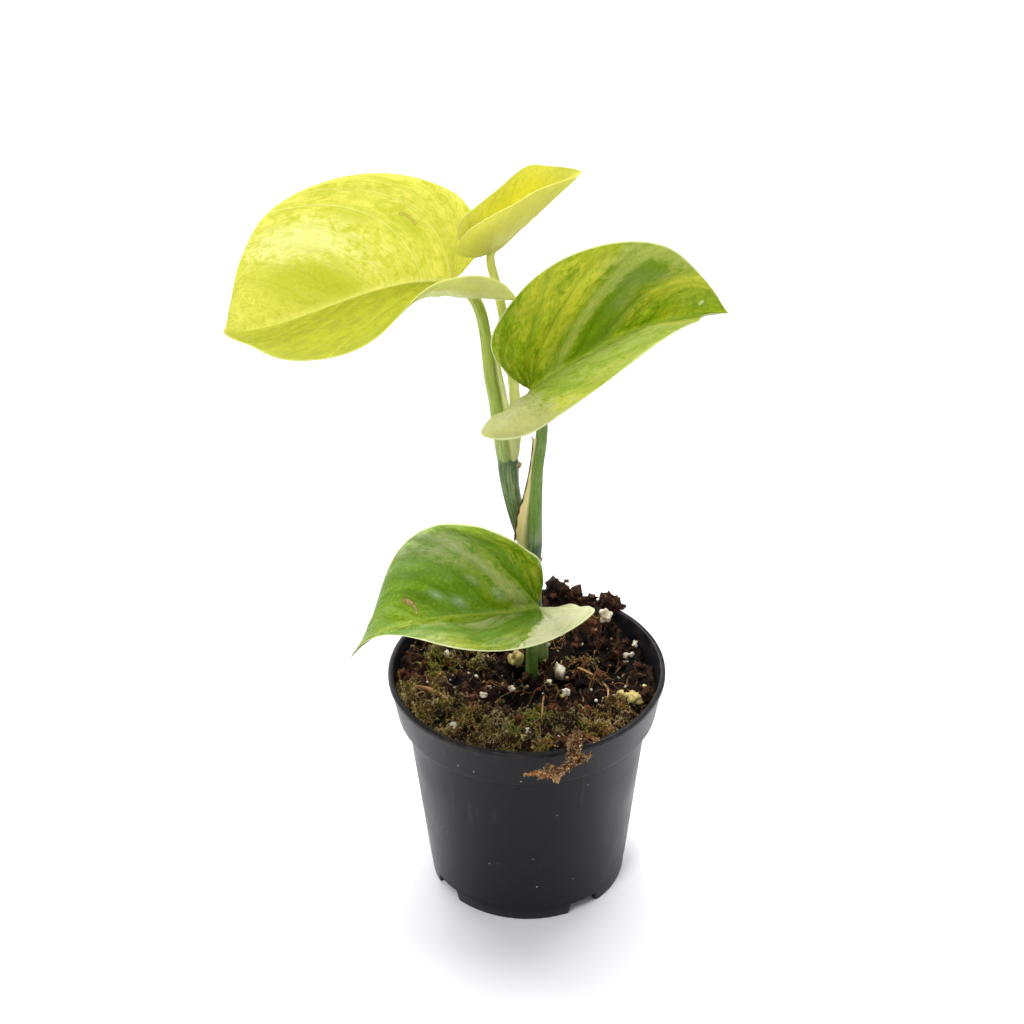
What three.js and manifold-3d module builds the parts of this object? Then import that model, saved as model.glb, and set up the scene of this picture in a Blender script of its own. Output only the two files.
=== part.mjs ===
// Potted manjula golden pothos: a young vine with four leaves in a small black nursery pot.
// Millimetres, +Z up, -Y to the front. Every place below is measured from the pot's axis at table
// height, and the whole is shifted at the end, so that its origin is the middle of its box's foot.
import * as THREE from 'three';
import { mergeVertices } from 'three/addons/utils/BufferGeometryUtils.js';
import Module from 'manifold-3d';

const wasm = await Module();
wasm.setup();

const vector = (x, y, z) => new THREE.Vector3(x, y, z);
const radians = THREE.MathUtils.degToRad;

// Clearance that neighbouring pieces keep.
const GAP = 0.3;

// The pot: a tapering body, a collar that steps out below the rim, and a foot ring cut into feet.
const POT = {
  rimRadius: 30,
  height: 53.1,
  lipHeight: 1.2,
  lipWidth: 1.1,
  collarTopRadius: 29.6,
  collarFootRadius: 28.2,
  collarHeight: 9.9,
  stepRise: 0.3,
  bodyTopRadius: 26.3,
  baseRadius: 21.5,
  wall: 0.8,
  footWidth: 1.2,
  floorHeight: 2.8,
  floorThickness: 1,
  segments: 48,
};
const FEET = { count: 4, notchHeight: 2.6, notchWidth: 8.2, notchWidthAtTop: 6.4, firstNotchDegrees: -56 };
const DRAIN = { count: 5, holeRadius: 2.2, ringRadius: 12.5, sides: 12 };

// The soil: a polar grid of rings and sectors under a height formula of waves, mounds and hollows.
const SOIL = { level: 49.4, rings: 11, sectors: 38, edgeSink: 0.3, tallest: 58, stemHoleGap: 0.35 };
// Each wave: amplitude, then its run in radians per millimetre along x and y, then a phase.
const SOIL_WAVES = [
  [0.55, 0.52, 0.31, 0.4],
  [0.5, -0.37, 0.61, 1.9],
  [0.35, 1.15, -0.42, 2.7],
  [0.3, 0.48, 1.27, 0.9],
];
// Each mound: x, y, height (a hollow's is negative) and reach.
const SOIL_MOUNDS = [
  [8.5, 22, 5.6, 4.2],
  [18.5, 22.5, 3.6, 3.6],
  [3, 13, 1.6, 5],
  [-20, -12, 1.6, 9],
  [0, -24, 1.8, 9],
  [16, -20, 1.4, 7],
  [-22, 12, 1.2, 8],
  [-2.6, -9.5, -3.8, 2.7],
  [17, 8, -2.2, 5],
  [-12, 3, -1.4, 4],
  [24, 3, -0.8, 5],
  [1, 1.5, -1.4, 2.6],
];
// Crumbs of peat, placed by a seeded draw, and the largest ones on the mounds behind the stem (x, y,
// radius and z).
const CRUMBS = { count: 16, seed: 11, smallest: 1.1, largest: 2.3, reach: 25, sink: 0.45, roughness: 0.5 };
const LARGE_CRUMB_ROUGHNESS = 0.6;
const LARGE_CRUMBS = [
  [7.4, 23, 2.9, 56.4],
  [10.6, 22.8, 2.4, 54.6],
  [5.4, 20.6, 2.3, 53.4],
  [18.6, 22.6, 2.2, 53.4],
  [14.6, 24, 1.8, 52.6],
];
// Perlite and pebbles: the ones that stand out (x, y, radius), and small ones by a seeded draw.
const LARGE_GRAINS = [
  [-2.3, 5.9, 1.5],
  [7.1, 2.4, 1.4],
  [8.4, -6.7, 1],
  [17.6, 18.7, 1.3],
  [-2.5, 9, 0.85],
  [4.8, -1.5, 0.5],
  [-9.2, -7.1, 0.65],
  [-3.4, -3.7, 0.7],
  [0.1, -20.8, 0.7],
  [-0.8, -22.4, 0.7],
  [-15.5, -17.2, 0.75],
  [-17.6, 7.9, 0.8],
  [22, 10.5, 0.6],
  [24.1, 13.8, 0.7],
  [20.2, -6.9, 1.1],
  [22.7, -8.7, 1.7],
];
const GRAINS = { count: 14, seed: 5, smallest: 0.35, largest: 0.7, reach: 26, rise: 0.3, roughness: 0.3 };

// The least and the most that a lump is stretched along x, y and z.
const LUMP_STRETCH = [
  [0.85, 1.25],
  [0.85, 1.25],
  [0.75, 1.05],
];

// The vine's stem, from its buried foot: x, y, z and radius at each point.
const MAIN_STEM = [
  [3.9, 11, 26, 1.5],
  [3.5, 10.4, 36, 1.95],
  [2.9, 9.2, 51, 1.95],
  [2, 8.4, 58.4, 1.9],
  [1.6, 7.8, 65.5, 1.85],
  [1.3, 6.9, 74, 1.9],
  [0.9, 6.2, 79.4, 2.15],
  [0.2, 6, 82, 2.05],
  [-0.7, 5.8, 85, 1.85],
  [-2, 5.4, 89.8, 1.75],
  [-3.1, 5.2, 96, 1.9],
  [-3.5, 5, 101.2, 2.2],
  [-3.5, 5, 103.4, 2.1],
];
// The brown nubs of dormant roots at the two joints of the stem: x, y, z, radius.
const NUB_SEED = 3;
const NUB_ROUGHNESS = 0.1;
const NUBS = [
  [2.8, 5.5, 77.6, 0.85],
  [-1.5, 4.1, 102.2, 0.85],
];
// The roots that hold the vine in the soil, each from the buried foot to its tip.
const ROOTS = [
  [[3.7, 10.7, 33], [-1, 9, 27], [-8, 5, 22], [-12, 3, 14]],
  [[3.7, 10.7, 31], [8, 8, 26], [12, 1, 20], [13, -4, 12]],
  [[3.9, 11, 28], [3, 9, 21], [0, 3, 14], [-2, -3, 9]],
];
const ROOT_RADII = [0.9, 0.8, 0.7, 0.5];

// The leaf stalks, each with x, y, z and radius at each point from its foot up. The last point is
// the blade's seat, a little below its base and under its midrib. The right and the upper left one
// carry the papery sheath they grew with.
const SEAT = { below: 0.9, along: 0.9, radius: 0.8 };
const STALKS = {
  petiole_lower_left: {
    path: [
      [2.4, 7.6, 38, 1.35],
      [1.3, 4.4, 43.5, 1.35],
      [1.1, 2.9, 47.8, 1.35],
      [1.2, 1.2, 55, 1.3],
      [1.3, -0.4, 61.2, 1.25],
      [1.9, -1.8, 66.6, 1.2],
    ],
    leaf: 'leaf_lower_left',
  },
  petiole_right: {
    path: [
      [1.6, 4.6, 79, 1.7],
      [1.7, 4.1, 83, 1.85],
      [1.9, 3.2, 91.3, 1.6],
      [2.4, 1.6, 102.4, 1.35],
      [3.3, 0.6, 110.6, 1.25],
      [3.4, 0, 116, 1.2],
      [2.7, -0.3, 120, 1.1],
    ],
    sheath: [
      [-0.2, 3.9, 80.5, 1.4],
      [-0.5, 3.4, 84.5, 1.5],
      [-0.2, 2.9, 89, 1.25],
      [0.6, 2.2, 95.5, 0.85],
      [1.5, 1.4, 103, 0.5],
      [2, 1, 107.5, 0.35],
    ],
    leaf: 'leaf_right',
  },
  petiole_upper_left: {
    path: [
      [-4.1, 4.6, 103.6, 1.75],
      [-4.9, 4.2, 109, 1.6],
      [-5.9, 3.6, 117.2, 1.4],
      [-7, 3, 124.7, 1.3],
      [-7.7, 2.4, 133.1, 1.2],
      [-8.6, 1.9, 139.3, 1.2],
      [-10.2, 1.4, 143.6, 1.2],
      [-12.2, 1.1, 145.4, 1.15],
    ],
    sheath: [
      [-2.6, 3.8, 104, 0.9],
      [-3, 3.5, 109, 0.85],
      [-4, 3, 117, 0.7],
      [-5.3, 2.4, 126, 0.55],
      [-6.4, 2, 133, 0.4],
    ],
    leaf: 'leaf_upper_left',
  },
  petiole_top: {
    path: [
      [-2.4, 6.6, 103.8, 1.3],
      [-1.9, 6.6, 110, 1.25],
      [-2.2, 6.2, 120, 1.15],
      [-3.2, 5.2, 130, 1.1],
      [-4.4, 4, 139, 1],
      [-5.7, 2.4, 146.6, 0.95],
      [-6.5, 0.4, 151.4, 0.9],
    ],
    leaf: 'leaf_top',
  },
};

// The blades. Headings are plan angles of the midrib and pitches its rise, both at the base, the
// middle and the tip. The halves are left and right of the midrib, seen from the base. Each half's
// fold is its rise above level and its curl what it turns on the way to its margin, in degrees.
// The fold itself is rounded, over FOLD_REACH on each side of the midrib.
const BLADE_THICKNESS = 0.6;
const FOLD_REACH = 1.6;
const MIDRIB_SLICES = 60;
const STRAIGHT = 1e-6;
const FURTHEST_BEHIND = -0.25;
const BLADE_STEPS = { outline: 2, radial: 6 };
const LEAVES = {
  leaf_upper_left: {
    base: [-14.5, 0.9, 147.2],
    length: 48,
    heading: [172, 187, 152],
    pitch: [4, -19, -11.5],
    left: {
      width: 22.3, fold: [5, 7, 4], curl: [60, -16, -7],
      lobe: 0.29, belly: 0.06, shoulder: 1, tip: 0,
    },
    right: {
      width: 23.5, fold: [80, 70, 86], curl: [8, -3, 7],
      lobe: 0.11, belly: 0.02, shoulder: 0.88, tip: 0.9,
    },
  },
  leaf_top: {
    base: [-7.3, -0.6, 154.8],
    length: 24.6,
    heading: [27, 18, -8],
    pitch: [18, 38.5, 41.5],
    left: {
      width: 10.8, fold: [84, 87, 67], curl: [2, 22, 13],
      lobe: 0.16, belly: 0.09, shoulder: 1, tip: 0.5,
    },
    right: {
      width: 12, fold: [70, 57, 50], curl: [2, 3, 11],
      lobe: 0.25, belly: 0.02, shoulder: 1, tip: 0.2,
    },
  },
  leaf_right: {
    base: [1.5, -0.5, 123],
    length: 49,
    heading: [22, 30.5, 30.5],
    pitch: [29, 6, -20.5],
    left: {
      width: 22.7, fold: [97, 84, 90], curl: [0, -1.5, 12],
      lobe: 0.05, belly: 0.04, shoulder: 1, tip: 0.2,
    },
    right: {
      width: 23.2, fold: [50, 33, 12], curl: [-75, -12, -3],
      lobe: 0.28, belly: 0.07, shoulder: 1, tip: -0.7,
    },
  },
  leaf_lower_left: {
    base: [2.5, -2.8, 71.2],
    length: 44.5,
    heading: [191.5, 179, 172.5],
    pitch: [-8, -8.7, -64],
    left: {
      width: 21, fold: [16, 9, -49], curl: [2, -7, -45],
      lobe: 0.24, belly: 0, shoulder: 1, tip: -0.7,
    },
    right: {
      width: 21, fold: [88, 44.5, -15], curl: [19, 20, -19],
      lobe: 0.05, belly: 0.02, shoulder: 0.86, tip: 0.5,
    },
  },
};
// Half of a heart-shaped outline, from just behind the base round the lobe to the tip: along the
// midrib in lengths (behind the base in lobe depths) and across in widths. The other numbers say how
// far a half's own belly, shoulder and tip move that point, a tip that is fuller or narrower.
const HALF_OUTLINE = [
  { along: -0.42, across: 0.09 },
  { along: -1, across: 0.4, shoulder: 1 },
  { along: -0.5, across: 0.78, shoulder: 1 },
  { along: 0.14, across: 0.99, belly: 1, shoulder: 0.5 },
  { along: 0.38, across: 0.93, belly: 1, fuller: 0.08, narrower: 0.08 },
  { along: 0.62, across: 0.68, belly: 1, fuller: 0.35, narrower: 0.55 },
  { along: 0.83, across: 0.3, fuller: 1.1, narrower: 1.1 },
  { along: 0.94, across: 0.09, fuller: 2, narrower: 1.2 },
  { along: 1, across: 0 },
];

// The dried moss that hangs over the front of the rim: its branches, with a radius at each point.
const TUFT = [
  [[9, -21.6, 52.4, 0.9], [9.5, -25.4, 54.4, 1.4], [9.6, -29.2, 55.6, 1.5], [9.3, -32, 53.6, 1.7],
    [7.2, -32.2, 51, 1.5], [3.7, -31.9, 49.8, 1.1], [-0.2, -31.2, 48.9, 0.5]],
  [[8.6, -31.8, 53.2, 1.3], [10.6, -31.9, 53.4, 1], [12.6, -31.6, 53.8, 0.5]],
  [[7.4, -32, 51.2, 1.2], [6.4, -31.9, 49.4, 0.9], [5.8, -31.6, 47.4, 0.45]],
  [[5.6, -31.9, 50.4, 0.9], [3.6, -32, 51.4, 0.5]],
  [[9.6, -26, 54.6, 1.1], [12.6, -26.8, 54.8, 0.8], [14.8, -27.4, 54.6, 0.4]],
];

// Value at x from 0 to 1 of the parabola through values at the base, the middle and the tip.
function station([base, middle, tip], x) {
  return base * (1 - x) * (1 - 2 * x) + middle * 4 * x * (1 - x) + tip * x * (2 * x - 1);
}

// Seeded random numbers from 0 to 1.
function randomFrom(seed) {
  let state = seed;
  return () => {
    state = (state * 1103515245 + 12345) % 2147483648;
    return state / 2147483648;
  };
}

// A closed mesh as a solid, turned outwards if it is inside out.
function solidFrom(geometry) {
  const bare = geometry.clone();
  bare.deleteAttribute('normal');
  bare.deleteAttribute('uv');
  const merged = mergeVertices(bare, 1e-5);
  const corners = merged.index.array;
  const kept = [];
  for (let i = 0; i < corners.length; i += 3) {
    const [a, b, c] = [corners[i], corners[i + 1], corners[i + 2]];
    if (a !== b && b !== c && c !== a) kept.push(a, b, c);
  }
  const vertProperties = new Float32Array(merged.attributes.position.array);
  const build = (triVerts) => new wasm.Manifold(new wasm.Mesh({ numProp: 3, vertProperties, triVerts }));
  const solid = build(new Uint32Array(kept));
  return solid.volume() > 0 ? solid : build(new Uint32Array(kept.reverse()));
}

function geometryFrom(solid) {
  const { vertProperties, triVerts, numProp } = solid.getMesh();
  const geometry = new THREE.BufferGeometry();
  const positions = new Float32Array((vertProperties.length / numProp) * 3);
  for (let i = 0; i < positions.length / 3; i += 1) {
    for (let k = 0; k < 3; k += 1) positions[3 * i + k] = vertProperties[numProp * i + k];
  }
  geometry.setAttribute('position', new THREE.BufferAttribute(positions, 3));
  geometry.setIndex([...triVerts]);
  return geometry;
}

function meshGeometry(points, triangles) {
  const geometry = new THREE.BufferGeometry().setFromPoints(points);
  geometry.setIndex(triangles.flat());
  return geometry;
}

// The largest body of a solid that a cut has left in pieces.
function largestBody(solid) {
  return solid.decompose().reduce((best, body) => (body.volume() > best.volume() ? body : best));
}

// A round stalk through points of x, y, z and radius, with flat ends. Growth widens it all along.
function stalkSolid(path, { sides = 10, stepsPerSpan = 2, growth = 0 } = {}) {
  const centres = path.map(([x, y, z]) => vector(x, y, z));
  const curve = new THREE.CatmullRomCurve3(centres, false, 'catmullrom', 0.5);
  const steps = (path.length - 1) * stepsPerSpan;
  const frames = curve.computeFrenetFrames(steps, false);
  const points = [];
  const triangles = [];
  for (let i = 0; i <= steps; i += 1) {
    const t = curve.getUtoTmapping(i / steps);
    const place = t * (path.length - 1);
    const span = Math.min(Math.floor(place), path.length - 2);
    const radius = THREE.MathUtils.lerp(path[span][3], path[span + 1][3], place - span) + growth;
    const centre = curve.getPoint(t);
    if (i === 0) centre.addScaledVector(frames.tangents[0], -growth);
    if (i === steps) centre.addScaledVector(frames.tangents[steps], growth);
    for (let k = 0; k < sides; k += 1) {
      const angle = (2 * Math.PI * k) / sides;
      points.push(centre.clone()
        .addScaledVector(frames.normals[i], radius * Math.cos(angle))
        .addScaledVector(frames.binormals[i], radius * Math.sin(angle)));
    }
  }
  for (let i = 0; i < steps; i += 1) {
    for (let k = 0; k < sides; k += 1) {
      const next = (k + 1) % sides;
      const [a, b, c, d] = [i * sides + k, i * sides + next, (i + 1) * sides + next, (i + 1) * sides + k];
      triangles.push([a, b, c], [a, c, d]);
    }
  }
  const last = steps * sides;
  for (let k = 1; k < sides - 1; k += 1) {
    triangles.push([0, k + 1, k], [last, last + k, last + k + 1]);
  }
  return solidFrom(meshGeometry(points, triangles));
}

// A rounded lump, pushed in and out by a seeded draw. Its roundness is fine at detail 1, coarse at 0.
function lumpSolid(x, y, z, radius, draw, detail, roughness, growth = 0) {
  const geometry = mergeVertices(stripped(new THREE.IcosahedronGeometry(1, detail)), 1e-4);
  const place = geometry.attributes.position;
  const stretch = LUMP_STRETCH.map(([least, most]) => THREE.MathUtils.lerp(least, most, draw()));
  for (let i = 0; i < place.count; i += 1) {
    const reach = radius * (1 + roughness * (draw() - 0.5)) + growth;
    const turned = [place.getX(i) * stretch[0], place.getY(i) * stretch[1], place.getZ(i) * stretch[2]];
    place.setXYZ(i, x + reach * turned[0], y + reach * turned[1], z + reach * turned[2]);
  }
  return solidFrom(geometry);
}

function stripped(geometry) {
  geometry.deleteAttribute('normal');
  geometry.deleteAttribute('uv');
  return geometry;
}

const collarFoot = POT.height - POT.collarHeight;
const floorTop = POT.floorHeight + POT.floorThickness;
const ledge = collarFoot + POT.stepRise + POT.wall;

// Inner radius of the pot at a height above its floor.
function innerRadius(z) {
  if (z < ledge) {
    const rise = (POT.bodyTopRadius - POT.baseRadius) / collarFoot;
    return POT.baseRadius + rise * z - POT.wall;
  }
  const rise = (POT.collarTopRadius - POT.collarFootRadius) / (POT.collarHeight - POT.lipHeight);
  return Math.min(POT.collarFootRadius + rise * (z - collarFoot) - POT.wall, POT.rimRadius - POT.lipWidth);
}

// The pot's outline, turned round its axis. Growth g thickens every wall by that much.
function potShell(g = 0) {
  const outline = [
    [0, POT.floorHeight - g],
    [POT.baseRadius - POT.footWidth - g, POT.floorHeight - g],
    [POT.baseRadius - POT.footWidth - g, 0],
    [POT.baseRadius + g, 0],
    [POT.bodyTopRadius + g, collarFoot - g],
    [POT.collarFootRadius + g, collarFoot + POT.stepRise - g],
    [POT.collarTopRadius + g, POT.height - POT.lipHeight - g],
    [POT.rimRadius + g, POT.height - POT.lipHeight - g],
    [POT.rimRadius + g, POT.height + g],
    [POT.rimRadius - POT.lipWidth - g, POT.height + g],
    [innerRadius(ledge) - g, ledge + g],
    [innerRadius(ledge - 0.01) - g, ledge + g],
    [innerRadius(floorTop) - g, floorTop + g],
    [0, floorTop + g],
  ];
  const lathe = new THREE.LatheGeometry(outline.map(([r, z]) => new THREE.Vector2(r, z)), POT.segments);
  return solidFrom(lathe.rotateX(Math.PI / 2));
}

function notchSolid(degrees) {
  const depth = 3 * POT.footWidth;
  const wide = FEET.notchWidth / 2;
  const narrow = FEET.notchWidthAtTop / 2;
  const section = new THREE.Shape([
    new THREE.Vector2(-wide, -1),
    new THREE.Vector2(wide, -1),
    new THREE.Vector2(narrow, FEET.notchHeight),
    new THREE.Vector2(-narrow, FEET.notchHeight),
  ]);
  const wedge = new THREE.ExtrudeGeometry(section, { depth, bevelEnabled: false });
  wedge.translate(0, 0, POT.baseRadius - 2 * POT.footWidth);
  wedge.rotateX(Math.PI / 2);
  wedge.rotateZ(radians(degrees) + Math.PI / 2);
  return solidFrom(wedge);
}

function drainSolid(x, y) {
  const height = 4 * POT.floorThickness;
  const hole = new THREE.CylinderGeometry(DRAIN.holeRadius, DRAIN.holeRadius, height, DRAIN.sides);
  hole.rotateX(Math.PI / 2);
  hole.translate(x, y, floorTop);
  return solidFrom(hole);
}

function potSolid() {
  let solid = potShell();
  for (let i = 0; i < FEET.count; i += 1) {
    solid = solid.subtract(notchSolid(FEET.firstNotchDegrees + (360 / FEET.count) * i));
  }
  solid = solid.subtract(drainSolid(0, 0));
  for (let i = 0; i < DRAIN.count; i += 1) {
    const angle = (2 * Math.PI * i) / DRAIN.count;
    const [x, y] = [DRAIN.ringRadius * Math.cos(angle), DRAIN.ringRadius * Math.sin(angle)];
    solid = solid.subtract(drainSolid(x, y));
  }
  return solid;
}

// Height of the soil's surface.
function soilHeight(x, y) {
  let z = SOIL.level;
  for (const [amplitude, alongX, alongY, phase] of SOIL_WAVES) {
    z += amplitude * Math.sin(alongX * x + alongY * y + phase);
  }
  for (const [moundX, moundY, height, reach] of SOIL_MOUNDS) {
    z += height * Math.exp(-((x - moundX) ** 2 + (y - moundY) ** 2) / (2 * reach ** 2));
  }
  return z;
}

function soilBody() {
  const { rings, sectors } = SOIL;
  const bottom = floorTop + GAP;
  const points = [vector(0, 0, soilHeight(0, 0))];
  const edgeRadius = POT.collarFootRadius - POT.wall;
  for (let ring = 1; ring <= rings; ring += 1) {
    for (let k = 0; k < sectors; k += 1) {
      const angle = (2 * Math.PI * k) / sectors;
      const [cos, sin] = [Math.cos(angle), Math.sin(angle)];
      const edge = Math.min(soilHeight(edgeRadius * cos, edgeRadius * sin), POT.height);
      const radius = (ring / rings) * (innerRadius(edge) - GAP);
      const sink = ring === rings ? SOIL.edgeSink : 0;
      const z = Math.min(soilHeight(radius * cos, radius * sin), SOIL.tallest) - sink;
      points.push(vector(radius * cos, radius * sin, z));
    }
  }
  const levels = [
    [innerRadius(ledge) - GAP, ledge + GAP],
    [innerRadius(collarFoot) - GAP, ledge + GAP],
    [innerRadius(bottom) - GAP, bottom],
  ];
  for (const [radius, z] of levels) {
    for (let k = 0; k < sectors; k += 1) {
      const angle = (2 * Math.PI * k) / sectors;
      points.push(vector(radius * Math.cos(angle), radius * Math.sin(angle), z));
    }
  }
  points.push(vector(0, 0, bottom));
  const triangles = [];
  const at = (ring, k) => 1 + (ring - 1) * sectors + (k % sectors);
  const loops = rings + levels.length;
  for (let k = 0; k < sectors; k += 1) {
    triangles.push([0, at(1, k), at(1, k + 1)]);
    for (let ring = 1; ring < loops; ring += 1) {
      triangles.push([at(ring, k), at(ring + 1, k), at(ring + 1, k + 1)]);
      triangles.push([at(ring, k), at(ring + 1, k + 1), at(ring, k + 1)]);
    }
    triangles.push([points.length - 1, at(loops, k + 1), at(loops, k)]);
  }
  return solidFrom(meshGeometry(points, triangles));
}

// A seeded place within the soil's reach, as x, y and a size draw.
function seededPlace(draw, reach) {
  const angle = 2 * Math.PI * draw();
  const radius = reach * Math.sqrt(draw());
  return [radius * Math.cos(angle), radius * Math.sin(angle), draw()];
}

function soilSolid(holes) {
  const lumps = [];
  const crumbDraw = randomFrom(CRUMBS.seed);
  for (const [x, y, radius, z] of LARGE_CRUMBS) {
    lumps.push(lumpSolid(x, y, z, radius, crumbDraw, 1, LARGE_CRUMB_ROUGHNESS));
  }
  for (let i = 0; i < CRUMBS.count; i += 1) {
    const [x, y, size] = seededPlace(crumbDraw, CRUMBS.reach);
    const radius = THREE.MathUtils.lerp(CRUMBS.smallest, CRUMBS.largest, size);
    const z = soilHeight(x, y) - CRUMBS.sink * radius;
    lumps.push(lumpSolid(x, y, z, radius, crumbDraw, 0, CRUMBS.roughness));
  }
  const grainDraw = randomFrom(GRAINS.seed);
  for (const [x, y, radius] of LARGE_GRAINS) {
    const z = soilHeight(x, y) + GRAINS.rise * radius;
    lumps.push(lumpSolid(x, y, z, radius, grainDraw, 0, GRAINS.roughness));
  }
  for (let i = 0; i < GRAINS.count; i += 1) {
    const [x, y, size] = seededPlace(grainDraw, GRAINS.reach);
    const radius = THREE.MathUtils.lerp(GRAINS.smallest, GRAINS.largest, size);
    lumps.push(lumpSolid(x, y, soilHeight(x, y), radius, grainDraw, 0, GRAINS.roughness));
  }
  const solid = lumps.reduce((sum, lump) => sum.add(lump), soilBody());
  return largestBody(holes.reduce((rest, hole) => rest.subtract(hole), solid));
}

// The vine's stem with its root nubs and its buried roots.
function stemSolid(growth = 0) {
  const nubDraw = randomFrom(NUB_SEED);
  let solid = stalkSolid(MAIN_STEM, { growth });
  for (const [x, y, z, radius] of NUBS) {
    solid = solid.add(lumpSolid(x, y, z, radius, nubDraw, 0, NUB_ROUGHNESS, growth));
  }
  for (const root of ROOTS) {
    const path = root.map((point, i) => [...point, ROOT_RADII[i]]);
    solid = solid.add(stalkSolid(path, { sides: 6, growth }));
  }
  return solid;
}

function petioleSolid({ path, sheath, leaf }, growth = 0) {
  const { centre, tangent, up } = midribFrame(LEAVES[leaf], 0);
  const seat = centre.addScaledVector(up, -SEAT.below).addScaledVector(tangent, SEAT.along);
  const stalk = stalkSolid([...path, [...seat.toArray(), SEAT.radius]], { growth });
  return sheath ? stalk.add(stalkSolid(sheath, { sides: 8, growth })) : stalk;
}

// Points of one half's outline, as distance along the midrib and distance from it.
function halfOutline(leaf, half) {
  const controls = HALF_OUTLINE.map((control) => {
    const { along, across, belly = 0, shoulder = 0, fuller = 0, narrower = 0 } = control;
    const s = along < 0 ? along * half.lobe : along + belly * half.belly;
    const shoulderWidth = 1 + shoulder * (half.shoulder - 1);
    const tipWidth = 1 + (half.tip > 0 ? fuller : narrower) * half.tip;
    return vector(s * leaf.length, across * shoulderWidth * tipWidth * half.width, 0);
  });
  const points = [];
  for (let i = 0; i < controls.length - 1; i += 1) {
    const before = controls[i - 1] ?? controls[i].clone().multiplyScalar(2).sub(controls[i + 1]);
    const after = controls[i + 2] ?? controls[i + 1].clone().multiplyScalar(2).sub(controls[i]);
    const span = [before, controls[i], controls[i + 1], after];
    const steps = BLADE_STEPS.outline;
    for (let k = 0; k < steps; k += 1) points.push(catmullRom(span, k / steps));
  }
  points.push(controls[controls.length - 1].clone());
  return points;
}

function catmullRom([before, start, end, after], t) {
  const weights = [
    -0.5 * t ** 3 + t ** 2 - 0.5 * t,
    1.5 * t ** 3 - 2.5 * t ** 2 + 1,
    -1.5 * t ** 3 + 2 * t ** 2 + 0.5 * t,
    0.5 * t ** 3 - 0.5 * t ** 2,
  ];
  return vector(0, 0, 0)
    .addScaledVector(before, weights[0])
    .addScaledVector(start, weights[1])
    .addScaledVector(end, weights[2])
    .addScaledVector(after, weights[3]);
}

// The midrib: its place and its frame of tangent, level side and up, at a distance along it.
function midribFrame(leaf, distance) {
  const reached = THREE.MathUtils.clamp(distance / leaf.length, 0, 1);
  const tangentAt = (x) => {
    const heading = radians(station(leaf.heading, x));
    const pitch = radians(station(leaf.pitch, x));
    return vector(Math.cos(heading) * Math.cos(pitch), Math.sin(heading) * Math.cos(pitch), Math.sin(pitch));
  };
  const centre = vector(...leaf.base);
  const slice = reached / MIDRIB_SLICES;
  for (let i = 0; i < MIDRIB_SLICES; i += 1) {
    centre.addScaledVector(tangentAt((i + 0.5) * slice), leaf.length * slice);
  }
  const tangent = tangentAt(reached);
  const heading = radians(station(leaf.heading, reached));
  const side = vector(-Math.sin(heading), Math.cos(heading), 0);
  if (distance < 0) centre.addScaledVector(tangent, distance);
  return { centre, tangent, side, up: tangent.clone().cross(side) };
}

// Run and rise of an arc that starts at an angle and turns by a rate per millimetre.
function arc(start, rate, length) {
  const turn = Math.abs(rate) < STRAIGHT ? STRAIGHT : rate;
  const end = start + turn * length;
  const run = (Math.sin(end) - Math.sin(start)) / turn;
  const rise = (Math.cos(start) - Math.cos(end)) / turn;
  return { run, rise, end };
}

// Place and upward normal of a blade's middle surface at distances along and from the midrib. The
// fold at the midrib is a small arc, and the half then curls evenly on the way to its margin.
function bladePoint(leaf, sideSign, along, across) {
  const half = sideSign > 0 ? leaf.left : leaf.right;
  const x = THREE.MathUtils.clamp(along / leaf.length, FURTHEST_BEHIND, 1);
  const fold = radians(station(half.fold, x));
  const curl = radians(station(half.curl, x));
  const tilt = (sideSign * radians(station(leaf.left.fold, x) - station(leaf.right.fold, x))) / 2;
  const inner = arc(tilt, (fold - tilt) / FOLD_REACH, Math.min(across, FOLD_REACH));
  const outer = arc(fold, curl / (half.width - FOLD_REACH), Math.max(across - FOLD_REACH, 0));
  const { centre, tangent, side, up } = midribFrame(leaf, along);
  const place = centre
    .addScaledVector(side, sideSign * (inner.run + outer.run))
    .addScaledVector(up, inner.rise + outer.rise);
  const angle = across > FOLD_REACH ? outer.end : inner.end;
  const outwards = side.clone().multiplyScalar(sideSign * Math.cos(angle));
  outwards.addScaledVector(up, Math.sin(angle));
  const normal = tangent.clone().cross(outwards).multiplyScalar(sideSign);
  return { place, normal };
}

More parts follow.
